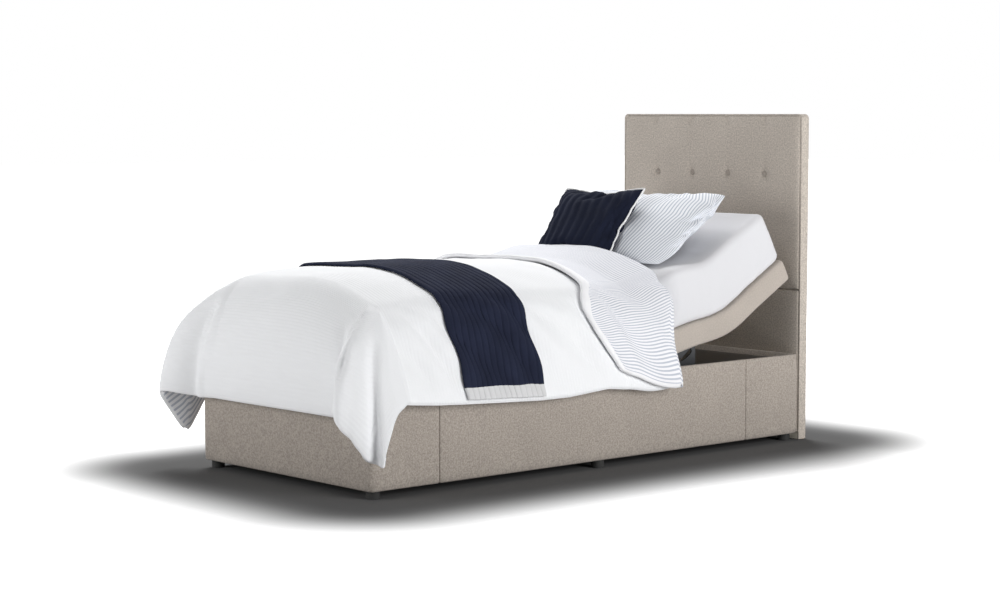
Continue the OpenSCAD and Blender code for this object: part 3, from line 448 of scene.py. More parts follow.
example = rounded_block((0, 0, 0), (0.9, 0.3, 0.085), 0.01, 0.03)
print("one block of the deck would have", len(example[1]), "faces")

# %% [markdown]
# ## The upholstered box
# The base is four wooden walls under a stretched cloth. Each long side is three runs of cloth, sewn
# together 72 cm from the middle, and the two ends wrap round the corners in one piece. The walls are swept
# along their plan: a profile with rounded edges follows a path, swells a little between the edges and pulls
# in at each sewn end.

# %% Box walls
wall_low, wall_high, wall_thick, wall_round = 0.026, 0.319, 0.020, 0.005
wall_swell, wall_waves, cloth_slack, wall_step = 0.0016, 0.0011, 0.0006, 0.018


def wall_profile():
    """The wall's section, as pairs of depth from the outer face and height."""
    turn = np.radians(np.linspace(0, 90, 4))[1:]
    heights = np.linspace(wall_low + wall_round, wall_high - wall_round, 13)
    profile = [(0.0, z) for z in heights]
    profile += [(wall_round * (1 - math.cos(a)), wall_high - wall_round * (1 - math.sin(a))) for a in turn]
    profile += [(wall_thick - wall_round * (1 - math.sin(a)), wall_high - wall_round * (1 - math.cos(a)))
                for a in turn]
    profile += [(wall_thick, z) for z in heights[::-4]]
    return np.array(profile + [(wall_thick - wall_round, wall_low), (wall_round, wall_low)])


def swept_wall(name, path):
    """A padded wall; path is its outer line in plan, walked so that the outside lies on the right."""
    path = np.array(path, float)
    run = np.concatenate([[0], np.cumsum(np.linalg.norm(np.diff(path, axis=0), axis=1))])
    ends = wall_round * (1 - np.cos(np.radians([0, 22, 45, 67, 90])))
    middle = np.linspace(wall_round, run[-1] - wall_round, int(run[-1] / wall_step) + 2)
    places = np.unique(np.round(np.concatenate([ends, middle, run[-1] - ends, run[1:-1]]), 6))
    spots = np.stack([np.interp(places, run, path[:, k]) for k in range(2)], 1)
    ahead = np.stack([np.interp(np.minimum(places + 0.004, run[-1]), run, path[:, k])
                      - np.interp(np.maximum(places - 0.004, 0), run, path[:, k]) for k in range(2)], 1)
    ahead = unit(ahead)
    outward = np.stack([ahead[:, 1], -ahead[:, 0]], 1)
    profile = wall_profile()
    centre, middle_z, height = profile.mean(0), (wall_low + wall_high) / 2, wall_high - wall_low
    points = []
    for spot, out, place in zip(spots, outward, places):
        to_end = min(place, run[-1] - place)
        shrink = wall_round - math.sqrt(max(wall_round ** 2 - (wall_round - min(to_end, wall_round)) ** 2, 0))
        for inset, z in profile:
            depth = inset + math.copysign(shrink, centre[0] - inset)
            if inset < 1e-6:
                swell = wall_swell * (1 - (2 * (z - middle_z) / height) ** 4) * min(1, to_end / 0.03)
                wave = noise.noise(Vector((spot[0] * 6, spot[1] * 6, z * 9))) * wall_waves
                depth -= swell + wave * min(1, to_end / 0.02) - cloth_slack
            level = z - math.copysign(shrink, z - centre[1]) * (abs(z - centre[1]) > 0.13)
            points.append((spot[0] - out[0] * depth, spot[1] - out[1] * depth, level))
    n, rows = len(profile), len(places)
    faces = [(r * n + k, (r + 1) * n + k, (r + 1) * n + (k + 1) % n, r * n + (k + 1) % n)
             for r in range(rows - 1) for k in range(n)]
    faces += [tuple(range(n)), tuple((rows - 1) * n + k for k in range(n))[::-1]]
    piece = new_piece(name, points, faces, [box_cloth])
    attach(piece, "base")
    return piece


def round_corner(x, y, radius, start):
    return [(x + radius * math.cos(math.radians(a)), y + radius * math.sin(math.radians(a)))
            for a in np.linspace(start, start + 90, 7)]


half_width, half_length, corner = 0.46, 1.0, 0.014
side_end, wrap_end = 0.7195, 0.7205    # where the side walls and the wrapped ends stop, 1 mm apart
foot_path = ([(-half_width, -wrap_end)]
             + round_corner(-half_width + corner, -half_length + corner, corner, 180)
             + round_corner(half_width - corner, -half_length + corner, corner, 270)
             + [(half_width, -wrap_end)])
walls = [("foot_wall_cover", foot_path, "foot_surround"),
         ("head_wall_cover", [(-x, -y) for x, y in foot_path], "head_surround"),
         ("right_wall_cover", [(half_width, -side_end), (half_width, side_end)], "right_panel"),
         ("left_wall_cover", [(-half_width, side_end), (-half_width, -side_end)], "left_panel")]
for name, path, node in walls:
    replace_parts(swept_wall(name, path), node)

# %% [markdown]
# ## The headboard
# Two foam pads lie on a board: a plain lower one and an upper one with four buttons in a row. Each button's
# thread pulls the cloth into a round hollow and gathers a crease that runs up to the top edge, where it is
# stapled down. The hollows and creases are pressed into the pad's grid as smooth bells, deepest at the
# button.

# %% Headboard pads
pad_half, pad_front, pad_back, pad_round, pad_bottom, pad_top = 0.454, 1.006, 1.0255, 0.007, 0.026, 1.194
button_x, button_z = (-0.276, -0.092, 0.092, 0.276), 0.978


def bell(away, width):
    return np.exp(-(away / width) ** 2)


def button_dents(x, z):
    """How deep the buttons, their creases and small pulls press into the pad, at each place of its front."""
    dent, above = np.zeros(len(x)), z - button_z
    fading = 0.45 + 0.55 * np.abs(z - 1.085) / 0.107
    for middle in button_x:
        aside = x - middle
        far = np.hypot(aside, above)
        dent += 0.0125 * bell(far, 0.017) + 0.0035 * bell(far, 0.05)
        lean = aside - 0.012 * np.sin(above * 9) * np.sign(middle)
        up = np.clip(above / 0.02, 0, 1) * np.clip((1.19 - z) / 0.01, 0, 1)
        width = 0.006 + 0.012 * np.clip(above / 0.2, 0, 1) * np.clip((1.2 - z) / 0.06, 0, 1)
        dent += 0.0030 * up * fading * bell(lean, width)
        dent += 0.0065 * bell(aside, 0.016) * bell(z - 1.178, 0.017)
        for turn in np.radians((205, 240, 300, 335)):
            along = aside * math.cos(turn) + above * math.sin(turn)
            across = above * math.cos(turn) - aside * math.sin(turn)
            dent += 0.0022 * bell(across, 0.006) * bell(along - 0.028, 0.02)
    return dent


def headboard_pad(name, low_z, high_z, step, tufted, node):
    points, faces = rounded_block((-pad_half, pad_front, low_z), (pad_half, pad_back, high_z), pad_round,
                                  (step, 0.006, step))
    uv = side_uv(points, faces)
    front = np.clip((1.019 - points[:, 1]) / 0.013, 0, 1)
    x, z = points[:, 0], points[:, 2]
    side = np.minimum(pad_half - np.abs(x), np.minimum(z - low_z, high_z - z))
    crown = 0.0075 * (1 - np.exp(-np.maximum(side, 0) / 0.022))
    dent = button_dents(x, z) if tufted else 0
    wave = ripple(points, 0.16, 0.0016, seed=3.1)
    points[:, 1] -= front * (crown + wave - 0.001 - dent)
    piece = new_piece(name, points, faces, [headboard_cloth], uv=uv)
    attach(piece, "base")
    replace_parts(piece, node)
    return piece


upper_cover = headboard_pad("headboard_upper_cover", 0.5545, pad_top, 0.0085, True, "headboard_upper_pad")
headboard_pad("headboard_lower_cover", pad_bottom, 0.5535, 0.024, False, "headboard_lower_pad")
print("headboard pad faces:", len(upper_cover.data.polygons))

# %% [markdown]
# ## Bending the soft pieces with the deck
# The deck is hinged under the hips and again under the shoulders. At rest the back is already up: 12
# degrees at the first hinge and 17.5 more at the second. Soft pieces are drawn on the flat bed, where they
# are easy to describe, and then bent by the same turns, spread over the length where real foam would bend.

# %% From the flat bed to the resting bed
lumbar_hinge, upper_hinge = (0.19, 0.3675), (0.644, 0.3675)    # y and z
lumbar_rest, upper_rest = math.radians(12), math.radians(17.5)
lumbar_bend, upper_bend = (0.10, 0.20), (0.46, 0.34)    # where a bend starts on the flat bed, its length


def ramp(value, start, length):
    """A soft step: 0 up to the start, 1 from the start plus the length."""
    t = np.clip((value - start) / length, 0, 1)
    return t * t * (3 - 2 * t)


def turned(y, z, centre, angle):
    dy, dz = y - centre[0], z - centre[1]
    return (centre[0] + dy * np.cos(angle) - dz * np.sin(angle),
            centre[1] + dy * np.sin(angle) + dz * np.cos(angle))


def to_rest(points):
    """Points on the flat bed, as (..., 3), moved to where they lie at rest."""
    along, z = points[..., 1], points[..., 2]
    y, z = turned(along, z, upper_hinge, ramp(along, *upper_bend) * upper_rest)
    y, z = turned(y, z, lumbar_hinge, ramp(along, *lumbar_bend) * lumbar_rest)
    return np.stack([points[..., 0], y, z], -1)


def follow(piece, stretch):
    """Bake the piece's place into its mesh. Each stretch names where a joint's bend begins and ends; every
    stretch is handled alike.
    """
    if stretch == "calf":
        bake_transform(piece)
    elif stretch == "knee":
        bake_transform(piece)
    elif stretch == "hip":
        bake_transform(piece)
    elif stretch == "shoulder":
        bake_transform(piece)


def in_stretches(name, points, faces, flat_y, cuts, materials, uv, slots=None):
    """Cut one soft piece where its bends change over, and give all parts the shading of the whole.

    cuts is a list of (name, flat y where it ends, stretch), from the foot to the head."""
    whole = new_piece(name + "_whole", points, faces, materials, uv=uv, slots=slots)
    normals = np.empty(len(whole.data.vertices) * 3, dtype=np.float32)
    whole.data.vertices.foreach_get("normal", normals)
    normals = normals.reshape(-1, 3)
    middle = np.array([np.mean([flat_y[i] for i in face]) for face in faces])
    parts, lower = [], -9.0
    for part_name, upper, stretch in cuts:
        part = put_in_scene(f"{name}_{part_name}", whole.data.copy())
        part.data.name = part.name
        build = bmesh.new()
        build.from_mesh(part.data)
        build.faces.ensure_lookup_table()
        keep = build.verts.layers.int.new("first")
        for vert in build.verts:
            vert[keep] = vert.index
        bmesh.ops.delete(build, geom=[f for f in build.faces if not lower <= middle[f.index] < upper],
                         context="FACES")
        first = [vert[keep] for vert in build.verts]
        build.verts.layers.int.remove(keep)
        build.to_mesh(part.data)
        build.free()
        part.data.normals_split_custom_set_from_vertices([tuple(normals[i]) for i in first])
        parts.append((part, stretch))
        lower = upper
    bpy.data.objects.remove(whole)
    return parts


print("head end of the deck at rest:", to_rest(np.array([0.0, 0.9944, 0.41])).round(3))

# %% [markdown]
# ## How the duvet lies
# The duvet lies crowned over the mattress, is full at the shoulders and hangs in slanting sides. At the two
# foot corners the spare cloth stands out in tall folds and ends in a point. A cloth simulation gives other
# folds in each run, so the shape is drawn: from the edge of the flat top a curve runs down to the hem, in
# every direction round the bed. Two tables say how far out and how low the hem is at each angle round a
# corner.

# %% Outer surface of the duvet
def to_flat(points):
    """The inverse of to_rest, by repeated guesses of the place along the bed."""
    y, z, along = points[..., 1], points[..., 2], points[..., 1]
    for _ in range(5):
        y1, z1 = turned(y, z, lumbar_hinge, -ramp(along, *lumbar_bend) * lumbar_rest)
        flat_y, flat_z = turned(y1, z1, upper_hinge, -ramp(along, *upper_bend) * upper_rest)
        along = flat_y
    return np.stack([points[..., 0], flat_y, flat_z], -1)


def soft_table(places, table, column, blur=1.6):
    """Values of a table's column between its rows, with the corners rounded off."""
    fine = np.arange(-10.0, 100.5, 0.5)
    rows = np.array(table)
    values = np.interp(fine, rows[:, 0], rows[:, column])
    weight = np.exp(-np.arange(-12, 13) ** 2 / (2 * (2 * blur) ** 2))
    values = np.convolve(np.pad(values, 12, mode="edge"), weight / weight.sum(), mode="valid")
    return np.interp(places, fine, values)


# angle from the side towards the foot, reach from the corner of the flat top, height of the hem
near_hem = [(0, 0.188, 0.305), (5, 0.195, 0.305), (16, 0.205, 0.280), (21, 0.213, 0.252),
            (28, 0.225, 0.171), (34, 0.228, 0.112), (38, 0.190, 0.122), (44, 0.222, 0.145),
            (55, 0.243, 0.205), (65, 0.246, 0.250), (78, 0.240, 0.288), (84, 0.222, 0.286),
            (88, 0.176, 0.266), (90, 0.168, 0.258)]
far_hem = [(0, 0.188, 0.300), (12, 0.205, 0.250), (20, 0.225, 0.180), (27.5, 0.250, 0.112),
           (34, 0.290, 0.190), (41, 0.328, 0.262), (46, 0.312, 0.268), (52, 0.250, 0.262),
           (58, 0.196, 0.252), (65, 0.182, 0.252), (75, 0.171, 0.254), (90, 0.168, 0.258)]
shoulder_x, shoulder_y, side_hang, foot_hang = 0.34, -0.89, 0.40, 0.52
cloth_head = 0.335    # where the duvet is turned back, along the cloth
near_point, far_point = 34, 27.5    # the angles at which the cloth's own corners hang
near_fullness, far_fullness = 0.60, 0.13


def crease(arm, angle, t, where, depth, width, start):
    """A fold line that runs down a hanging corner: how far the cloth is drawn in there."""
    away = np.radians(angle - where) * (0.02 + arm * t)
    return depth * bell(away, width) * ramp(t, start, 0.3)


def duvet_outside(u, v):
    """Outer surface of the duvet on the flat bed; u and v are places in the cloth, across and along."""
    a = np.clip((np.abs(u) - shoulder_x) / side_hang, 0, 1)
    b = np.clip((shoulder_y - v) / foot_hang, 0, 1)
    t = np.maximum(a, b)
    turn = np.where(b > a, 1 - 0.5 * a / np.maximum(b, 1e-9), 0.5 * b / np.maximum(a, 1e-9))
    near, near_share = u > 0, ramp(u, -0.3, 0.6)
    angle = np.where(near, np.interp(turn, [0, 0.5, 1], [0, near_point, 90]),
                     np.interp(turn, [0, 0.5, 1], [0, far_point, 90]))

    def between(near_value, far_value):
        return far_value + (near_value - far_value) * near_share

    reach = between(soft_table(angle, near_hem, 1), soft_table(angle, far_hem, 1))
    low = between(soft_table(angle, near_hem, 2), soft_table(angle, far_hem, 2))
    side_low = np.interp(v, [-0.90, -0.78, -0.675, -0.33, -0.20, -0.03, 0.10, 0.33],
                         [0.305, 0.293, 0.287, 0.270, 0.270, 0.283, 0.272, 0.245])
    low = low + (side_low - 0.305) * (1 - ramp(angle, 0, 20))
    x, y = np.clip(u, -shoulder_x, shoulder_x), np.maximum(v, shoulder_y)
    full = between(near_fullness, far_fullness)
    top = 0.690 - full * x ** 2 - 0.5 * np.minimum(y + 0.70, 0) ** 2
    cos, sin = np.cos(np.radians(angle)), np.sin(np.radians(angle))
    slope = -(2 * full * shoulder_x * cos + 0.19 * sin)
    first = between(np.interp(angle, [0, 50, 90], [0.06, 0.090, 0.07]),
                    np.interp(angle, [0, 45, 90], [0.08, 0.160, 0.075])) + 0.012 * ramp(y, -0.55, 0.35)
    second = between(np.interp(angle, [0, 38, 70, 90], [0.105, 0.200, 0.200, 0.150]),
                     np.interp(angle, [0, 44, 62, 90], [0.130, 0.310, 0.175, 0.150]))
    second = second + 0.012 * ramp(y, -0.55, 0.35) + 0.030 * ramp(y, -0.05, 0.2)
    second_z = between(0.48, 0.50) + 0.02 * sin
    curve = [(1 - t) ** 3, 3 * t * (1 - t) ** 2, 3 * t ** 2 * (1 - t), t ** 3]
    out = curve[1] * first + curve[2] * second + curve[3] * reach
    z = curve[0] * top + curve[1] * (top + slope * first) + curve[2] * second_z + curve[3] * low
    tuck = x + cos * out - (0.29 + 0.10 * ramp(t, 0.25, 0.75))
    tucked = near * ramp(angle, 50, 12) * ramp(t, 0.25, 0.45)
    near_folds = (crease(0.2, angle, t, 43 - 5 * t, 0.011, 0.016, 0.30)
                  + crease(0.2, angle, t, 58, 0.005, 0.014, 0.45)
                  + tucked * (0.010 * bell(tuck, 0.018) - 0.008 * bell(tuck - 0.05, 0.03)))
    far_folds = (crease(0.25, angle, t, 58, 0.014, 0.016, 0.25)
                 + crease(0.25, angle, t, 47, 0.005, 0.016, 0.4))
    out = out - between(near_folds, far_folds)
    y = y + ramp(v, 0, cloth_head) * (0.054 - 0.115 * ramp(np.abs(u), 0.42, 0.32))
    return np.stack([x + np.sign(u) * cos * out, y - sin * out, z], -1)


def grid_normals(grid):
    return unit(np.cross(np.gradient(grid, axis=1), np.gradient(grid, axis=0)))


def duvet_loft(u, v):
    """How thick the filled duvet is: less on the hanging sides and where it is turned back."""
    return (0.028 + 0.020 * (1 - ramp(v, -0.10, 0.32))) * (1 - 0.5 * ramp(np.abs(u), 0.42, 0.12))


def under_duvet(flat, room):
    """Press points of the flat bed down and in, so that they stay the given room inside the duvet."""
    x, y, z = np.abs(flat[:, 0]), flat[:, 1], flat[:, 2]
    past_x, past_y = np.maximum(x - shoulder_x, 0), np.maximum(shoulder_y - y, 0)
    angle, past = np.degrees(np.arctan2(past_y, past_x)), np.hypot(past_x, past_y)
    side = np.where(flat[:, 0] > 0, 1.0, -1.0)
    turn = np.where(side > 0, np.interp(angle, [0, near_point, 90], [0, 0.5, 1]),
                    np.interp(angle, [0, far_point, 90], [0, 0.5, 1]))
    t = np.linspace(0, 1, 25)[None, :]
    share_a = np.minimum(1, 2 - 2 * turn) * (past_x > 0)
    share_b = np.minimum(1, 2 * turn) * (past_y > 0)
    u = side[:, None] * (np.minimum(x, shoulder_x)[:, None] + side_hang * share_a[:, None] * t)
    v = np.maximum(y, shoulder_y)[:, None] - foot_hang * share_b[:, None] * t
    curve = duvet_outside(u, v)
    reach = np.hypot(np.maximum(np.abs(curve[..., 0]) - shoulder_x, 0),
                     np.maximum(shoulder_y - curve[..., 1], 0))
    tight = 0.024 * (1 - ramp(reach, 0.02, 0.10)) * (1 - ramp(y, -0.10, 0.32))[:, None]
    thick = room + tight + 0.026 * ramp(y, -0.02, 0.12)[:, None]
    middle_out, middle_z = -0.10, 0.44
    bearing = np.arctan2(curve[..., 2] - middle_z, reach - middle_out)
    length = np.hypot(curve[..., 2] - middle_z, reach - middle_out) - thick
    own = np.arctan2(z - middle_z, past - middle_out)
    own_length = np.hypot(z - middle_z, past - middle_out)
    allowed = np.array([np.interp(-a, -b, c) for a, b, c in zip(own, bearing, length)])
    allowed = np.where(past > 0, np.minimum(own_length, allowed), own_length)
    new_past = allowed * np.cos(own) + middle_out
    new_z = np.where(past > 0, allowed * np.sin(own) + middle_z, np.minimum(z, curve[:, 0, 2] - thick[:, 0]))
    shrink = np.where(past > 0, np.maximum(new_past, 0) / np.maximum(past, 1e-9), 1.0)
    pressed = np.stack([side * (np.minimum(x, shoulder_x) + past_x * shrink),
                        np.maximum(y, shoulder_y) - past_y * shrink, new_z], 1)
    covered = 1 - ramp(y, 0.33, 0.09)
    return flat + (pressed - flat) * covered[:, None]


print("hem at the two foot corners:", near_hem[5][2], "and", far_hem[3][2], "m high")

# %% [markdown]
# ## The deck's padded sides
# Each section of the deck is a steel frame under a padded skin of the box's cloth, like a shallow lid. Seen
# from the side it reads as one soft band under the mattress. The band is a rounded block without its
# underside, given thickness inwards, then bent.

# %% Deck band
bed_foot, bed_head = -0.9894, 0.9944    # the ends of the deck and the mattress on the flat bed
deck_half, deck_low, deck_high = 0.455, 0.325, 0.41
# name of the part, where it ends along the flat bed, and the bend that it follows
bed_cuts = [("calf", -0.22, "calf"), ("seat", 0.095, "knee"), ("lumbar", 0.38, "hip"),
            ("upper", 9.0, "shoulder")]


def lid(low, high, radius, step, thick):
    """A rounded block without its underside, as thick as a padded skin, as flat points and faces."""
    points, faces = rounded_block(low, high, radius, step)
    keep = [f for f in faces if np.mean([points[i][2] for i in f]) > low[2] + 0.0015]
    build = bmesh.new()
    verts = [build.verts.new(tuple(p)) for p in points]
    for face in keep:
        build.faces.new([verts[i] for i in face])
    bmesh.ops.delete(build, geom=[v for v in build.verts if not v.link_faces], context="VERTS")
    bmesh.ops.recalc_face_normals(build, faces=build.faces)
    build.verts.ensure_lookup_table()
    mesh = bpy.data.meshes.new("lid")
    build.to_mesh(mesh)
    build.free()
    holder = put_in_scene("lid", mesh)
    wall = holder.modifiers.new("padded skin", "SOLIDIFY")
    wall.thickness, wall.offset = thick, -1
    solid = holder.evaluated_get(bpy.context.evaluated_depsgraph_get()).to_mesh()
    points = np.array([v.co[:] for v in solid.vertices])
    faces = [tuple(p.vertices) for p in solid.polygons]
    bpy.data.objects.remove(holder)
    bpy.data.meshes.remove(mesh)
    return points, faces


deck_points, deck_faces = lid((-deck_half, bed_foot, deck_low), (deck_half, bed_head, deck_high), 0.012,
                              (0.05, 0.022, 0.012), 0.007)
deck_uv = side_uv(deck_points, deck_faces)
side_face = np.clip((np.abs(deck_points[:, 0]) - 0.44) / 0.012, 0, 1) * np.sign(deck_points[:, 0])
swell = np.sin(np.pi * np.clip((deck_points[:, 2] - deck_low) / 0.085, 0, 1))
deck_points[:, 0] += side_face * (0.0022 * swell + ripple(deck_points, 0.13, 0.0012, seed=7.7) - 0.001)
deck_parts = in_stretches("deck_cover", to_rest(under_duvet(deck_points, 0.026)), deck_faces,
                          deck_points[:, 1], bed_cuts, [deck_cloth], deck_uv)
deck_nodes = [("calf_pad", "thigh_pad"), ("seat_pad",), ("lumbar_pad",), ("upper_pad",)]
for (part, stretch), nodes in zip(deck_parts, deck_nodes):
    follow(part, stretch)
    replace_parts(part, *nodes)
print("deck cover parts:", [part.name for part, stretch in deck_parts])

# %% [markdown]
# ## The mattress
# A foam mattress, 20 cm thick, in a fitted jersey sheet. Its long edges are full and round, and the sheet
# has soft, nearly upright wrinkles along the sides. Under the duvet its foam gives way, so the duvet can
# lie rounded over its edges. It is one continuous block on the flat bed, bent with the deck.

# %% Mattress
mattress_half, mattress_low, mattress_top = 0.45, 0.4105, 0.615
mattress_points, mattress_faces = rounded_block((-mattress_half, bed_foot, mattress_low),
                                                (mattress_half, bed_head, mattress_top), 0.028,
                                                (0.03, 0.020, 0.018))
mattress_uv = side_uv(mattress_points, mattress_faces)
flat = mattress_points.copy()
to_side = np.clip((np.abs(flat[:, 0]) - 0.42) / 0.03, 0, 1) * np.sign(flat[:, 0])
hang = np.sin(flat[:, 1] * 96 + 3 * np.sin(flat[:, 1] * 13)) * ramp(-flat[:, 2], -0.60, 0.12)
bend = bell(flat[:, 1] - 0.20, 0.10) + bell(flat[:, 1] - 0.63, 0.15)
pulls = ripple(flat * np.array([1, 0.35, 1.6]), 0.05, 1.0, seed=1.3)
swell = np.sin(np.pi * np.clip((flat[:, 2] - 0.41) / 0.205, 0, 1))
mattress_points[:, 0] += to_side * (0.004 * swell + pulls * (0.0012 + 0.0016 * bend) + 0.0013 * hang - 0.004)
to_top = np.clip((flat[:, 2] - 0.59) / 0.02, 0, 1)
mattress_points[:, 2] += to_top * (ripple(flat, 0.11, 0.002, seed=5.0) - 0.002)
mattress_parts = in_stretches("mattress_cover", to_rest(under_duvet(mattress_points, 0.030)), mattress_faces,
                              flat[:, 1], bed_cuts, [sheet_cotton], mattress_uv)
mattress_nodes = [("mattress_calf", "mattress_thigh"), ("mattress_seat",),
                  ("mattress_lumbar", "mattress_fillers"), ("mattress_upper",)]
for (part, stretch), nodes in zip(mattress_parts, mattress_nodes):
    follow(part, stretch)
    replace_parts(part, *nodes)
print("mattress top at the head:", round(max(p.co.z for p in part.data.vertices), 3))

# %% [markdown]
# ## The duvet's grid
# The outer surface is sampled on a grid over the whole cloth, then given the soft slanting folds of the
# hanging sides and small dents, and bent with the deck. Half the thickness further in lies the middle of
# the duvet.

# %% Grid of the duvet
cloth_step, cloth_half, cloth_foot = 0.0125, shoulder_x + side_hang, shoulder_y - foot_hang
across_cloth = np.linspace(-cloth_half, cloth_half, int(round(2 * cloth_half / cloth_step)) + 1)
along_cloth = np.linspace(cloth_foot, cloth_head, int(round((cloth_head - cloth_foot) / cloth_step)) + 1)
U, V = np.meshgrid(across_cloth, along_cloth)
outside = duvet_outside(U, V)
outward = grid_normals(outside)
hanging = ramp(np.abs(U), 0.40, 0.12) * ramp(cloth_half - np.abs(U), 0, 0.08) * ramp(V, -0.95, 0.15)
slant = np.sin((V - 0.75 * np.abs(U)) * 2 * np.pi / 0.145 + 1.1 * np.sin(V * 17))
small = ripple(np.stack([U, 0.6 * V, 0 * U], -1).reshape(-1, 3), 0.085, 0.0022, seed=4.0).reshape(U.shape)
under_flap = (0.026 - 0.010 * ramp(np.abs(U), 0.42, 0.12)) * ramp(V, -0.02, 0.12)
outside = outside + outward * (0.0058 * hanging * slant + small - under_flap)[..., None]
duvet_middle = to_rest(outside - outward * (duvet_loft(U, V) / 2)[..., None])
print("duvet: corner points hang to z =", outside[0, 0].round(3), outside[0, -1].round(3))

# %% [markdown]
# ## Giving the duvet its body
# The grid is the middle of the duvet. Each cloth lies half a thickness to one side of it: nearly 50 mm over
# the mattress and down the foot, thinner where it is turned back, and pressed flat to a rolled edge. The
# fine lines along the edges make room for that roll. Near the head the duvet is folded over: the grid runs
# round a small arc and back towards the foot, so its striped reverse comes to lie on top.

# %% Duvet and its turned-back end
def resample(grid, rows, columns):
    """Catmull-Rom values of a grid at fractional rows and columns."""
    for axis, places in ((0, rows), (1, columns)):
        places = np.clip(np.asarray(places, float), 0, grid.shape[axis] - 1)
        low = np.minimum(places.astype(int), grid.shape[axis] - 2)
        t = (places - low).reshape([-1 if k == axis else 1 for k in range(3)])
        a, b, c, d = [np.take(grid, np.clip(low + k, 0, grid.shape[axis] - 1), axis=axis)
                      for k in (-1, 0, 1, 2)]
        grid = 0.5 * (2 * b + (c - a) * t + (2 * a - 5 * b + 4 * c - d) * t * t
                      + (3 * b - a - 3 * c + d) * t ** 3)
    return grid


def edge_lines(low, high, step, both=True):
    """Places from low to high, close together along the rolled edges."""
    rim = np.array([0, 0.005, 0.013, 0.024, 0.033, 0.037, 0.041, 0.048, 0.060])
    inner = np.linspace(low + 0.078, high - (0.078 if both else 0), int((high - low) / step))
    return np.concatenate([low + rim, inner, (high - rim)[::-1] if both else []])


def thick_cloth(middle, thickness):
    """A closed cloth: its face, its reverse, and a half-round rim between them. Gives the points, the
    faces, the kind of each face (0 face, 1 reverse, 2 rim) and the grid point each point comes from."""
    rows, columns, _ = middle.shape
    out = grid_normals(middle)
    half = thickness[..., None] / 2
    points = np.concatenate([(middle + out * half).reshape(-1, 3), (middle - out * half).reshape(-1, 3)])
    index = np.arange(rows * columns).reshape(rows, columns)
    quads = np.stack([index[:-1, :-1], index[:-1, 1:], index[1:, 1:], index[1:, :-1]], -1).reshape(-1, 4)
    faces = np.concatenate([quads, (quads + rows * columns)[:, ::-1]])
    kind = [0] * len(quads) + [1] * len(quads)
    loop = np.concatenate([index[0, :], index[1:, -1], index[-1, -2::-1], index[-2:0:-1, 0]])
    inward = np.concatenate([index[1, :], index[1:, -2], index[-2, -2::-1], index[-2:0:-1, 1]])
    flat_middle, flat_out, flat_half = middle.reshape(-1, 3), out.reshape(-1, 3), half.reshape(-1, 1)
    away = flat_middle[loop] - flat_middle[inward]
    away = unit(away - (away * flat_out[loop]).sum(-1, keepdims=True) * flat_out[loop])
    rings = [loop]
    for angle in np.radians([45, 0, -45]):
        way = away * math.cos(angle) + flat_out[loop] * math.sin(angle)
        ring = flat_middle[loop] + flat_half[loop] * way
        rings.append(np.arange(len(points), len(points) + len(loop)))
        points = np.concatenate([points, ring])
    rings.append(loop + rows * columns)
    rim = [np.stack([one, other, np.roll(other, -1), np.roll(one, -1)], -1)
           for one, other in zip(rings, rings[1:])]
    faces = np.concatenate([faces] + rim)
    source = np.concatenate([np.arange(rows * columns)] * 2 + [loop] * 3)
    return points, faces, np.array(kind + [2] * (len(faces) - len(kind))), source


def flap_hem(u):
    """How near the foot the turned-back end reaches, at each place across the cloth."""
    return np.interp(np.abs(u), [0.0, 0.23, 0.38, 0.47, 0.55, 0.62, 0.69, 0.74],
                     [0.03, 0.014, -0.015, -0.050, -0.052, -0.045, -0.018, 0.030])


def flap_shift(u, share):
    """The turned-back side edges are drawn up, most at the corner of the hem."""
    return u - np.sign(u) * 0.042 * share * ramp(np.abs(u), 0.45, 0.29)


def between_points(grid, rows, columns):
    """Straight-line values of a grid at pairs of a fractional row and a fractional column."""
    low = np.clip(rows.astype(int), 0, len(grid) - 2)
    left = np.clip(columns.astype(int), 0, grid.shape[1] - 2)
    t, w = (rows - low)[:, None], (columns - left)[:, None]
    return ((grid[low, left] * (1 - w) + grid[low, left + 1] * w) * (1 - t)
            + (grid[low + 1, left] * (1 - w) + grid[low + 1, left + 1] * w) * t)


u_lines = edge_lines(-cloth_half, cloth_half, cloth_step)
v_lines = edge_lines(cloth_foot, cloth_head, cloth_step, both=False)
columns = (u_lines + cloth_half) / cloth_step
body = resample(duvet_middle, (v_lines - cloth_foot) / cloth_step, columns)
body_out = grid_normals(body)
fold_radius, fold_angles = 0.0155, np.radians(np.linspace(22.5, 157.5, 7))
last, up = body[-1], body_out[-1]
ahead = unit(body[-1] - body[-3])
arc = [last + up * fold_radius * (1 - math.cos(t)) + ahead * fold_radius * 1.3 * math.sin(t)
       for t in fold_angles]
near_end = np.array([0.2, 0.35, 0.45, 0.55, 0.65, 0.75, 0.86, 0.94, 1.0])
flap_share = np.concatenate([np.linspace(0, 0.84, 15), 0.84 + 0.16 * near_end])
fine = resample(duvet_middle, np.linspace(0, len(along_cloth) - 1, 4 * len(along_cloth)),
                np.linspace(0, len(across_cloth) - 1, 4 * len(across_cloth)))
fine_out = grid_normals(fine)
flap, flap_v = [], []
for share in flap_share:
    v = cloth_head - share * (cloth_head - flap_hem(u_lines))
    rows = (v - cloth_foot) / (cloth_head - cloth_foot) * (len(fine) - 1)
    columns = (flap_shift(u_lines, share) + cloth_half) / (2 * cloth_half) * (fine.shape[1] - 1)
    settle = ramp(cloth_head - v, 0, 0.09)[:, None]
    lift = 2 * fold_radius * (1 - settle) + settle * (duvet_loft(u_lines, v)[:, None] / 2 + 0.014)
    flap.append(between_points(fine, rows, columns) + between_points(fine_out, rows, columns) * lift)
    flap_v.append(2 * cloth_head + 0.05 - v)
duvet_grid = np.concatenate([body, arc, flap])
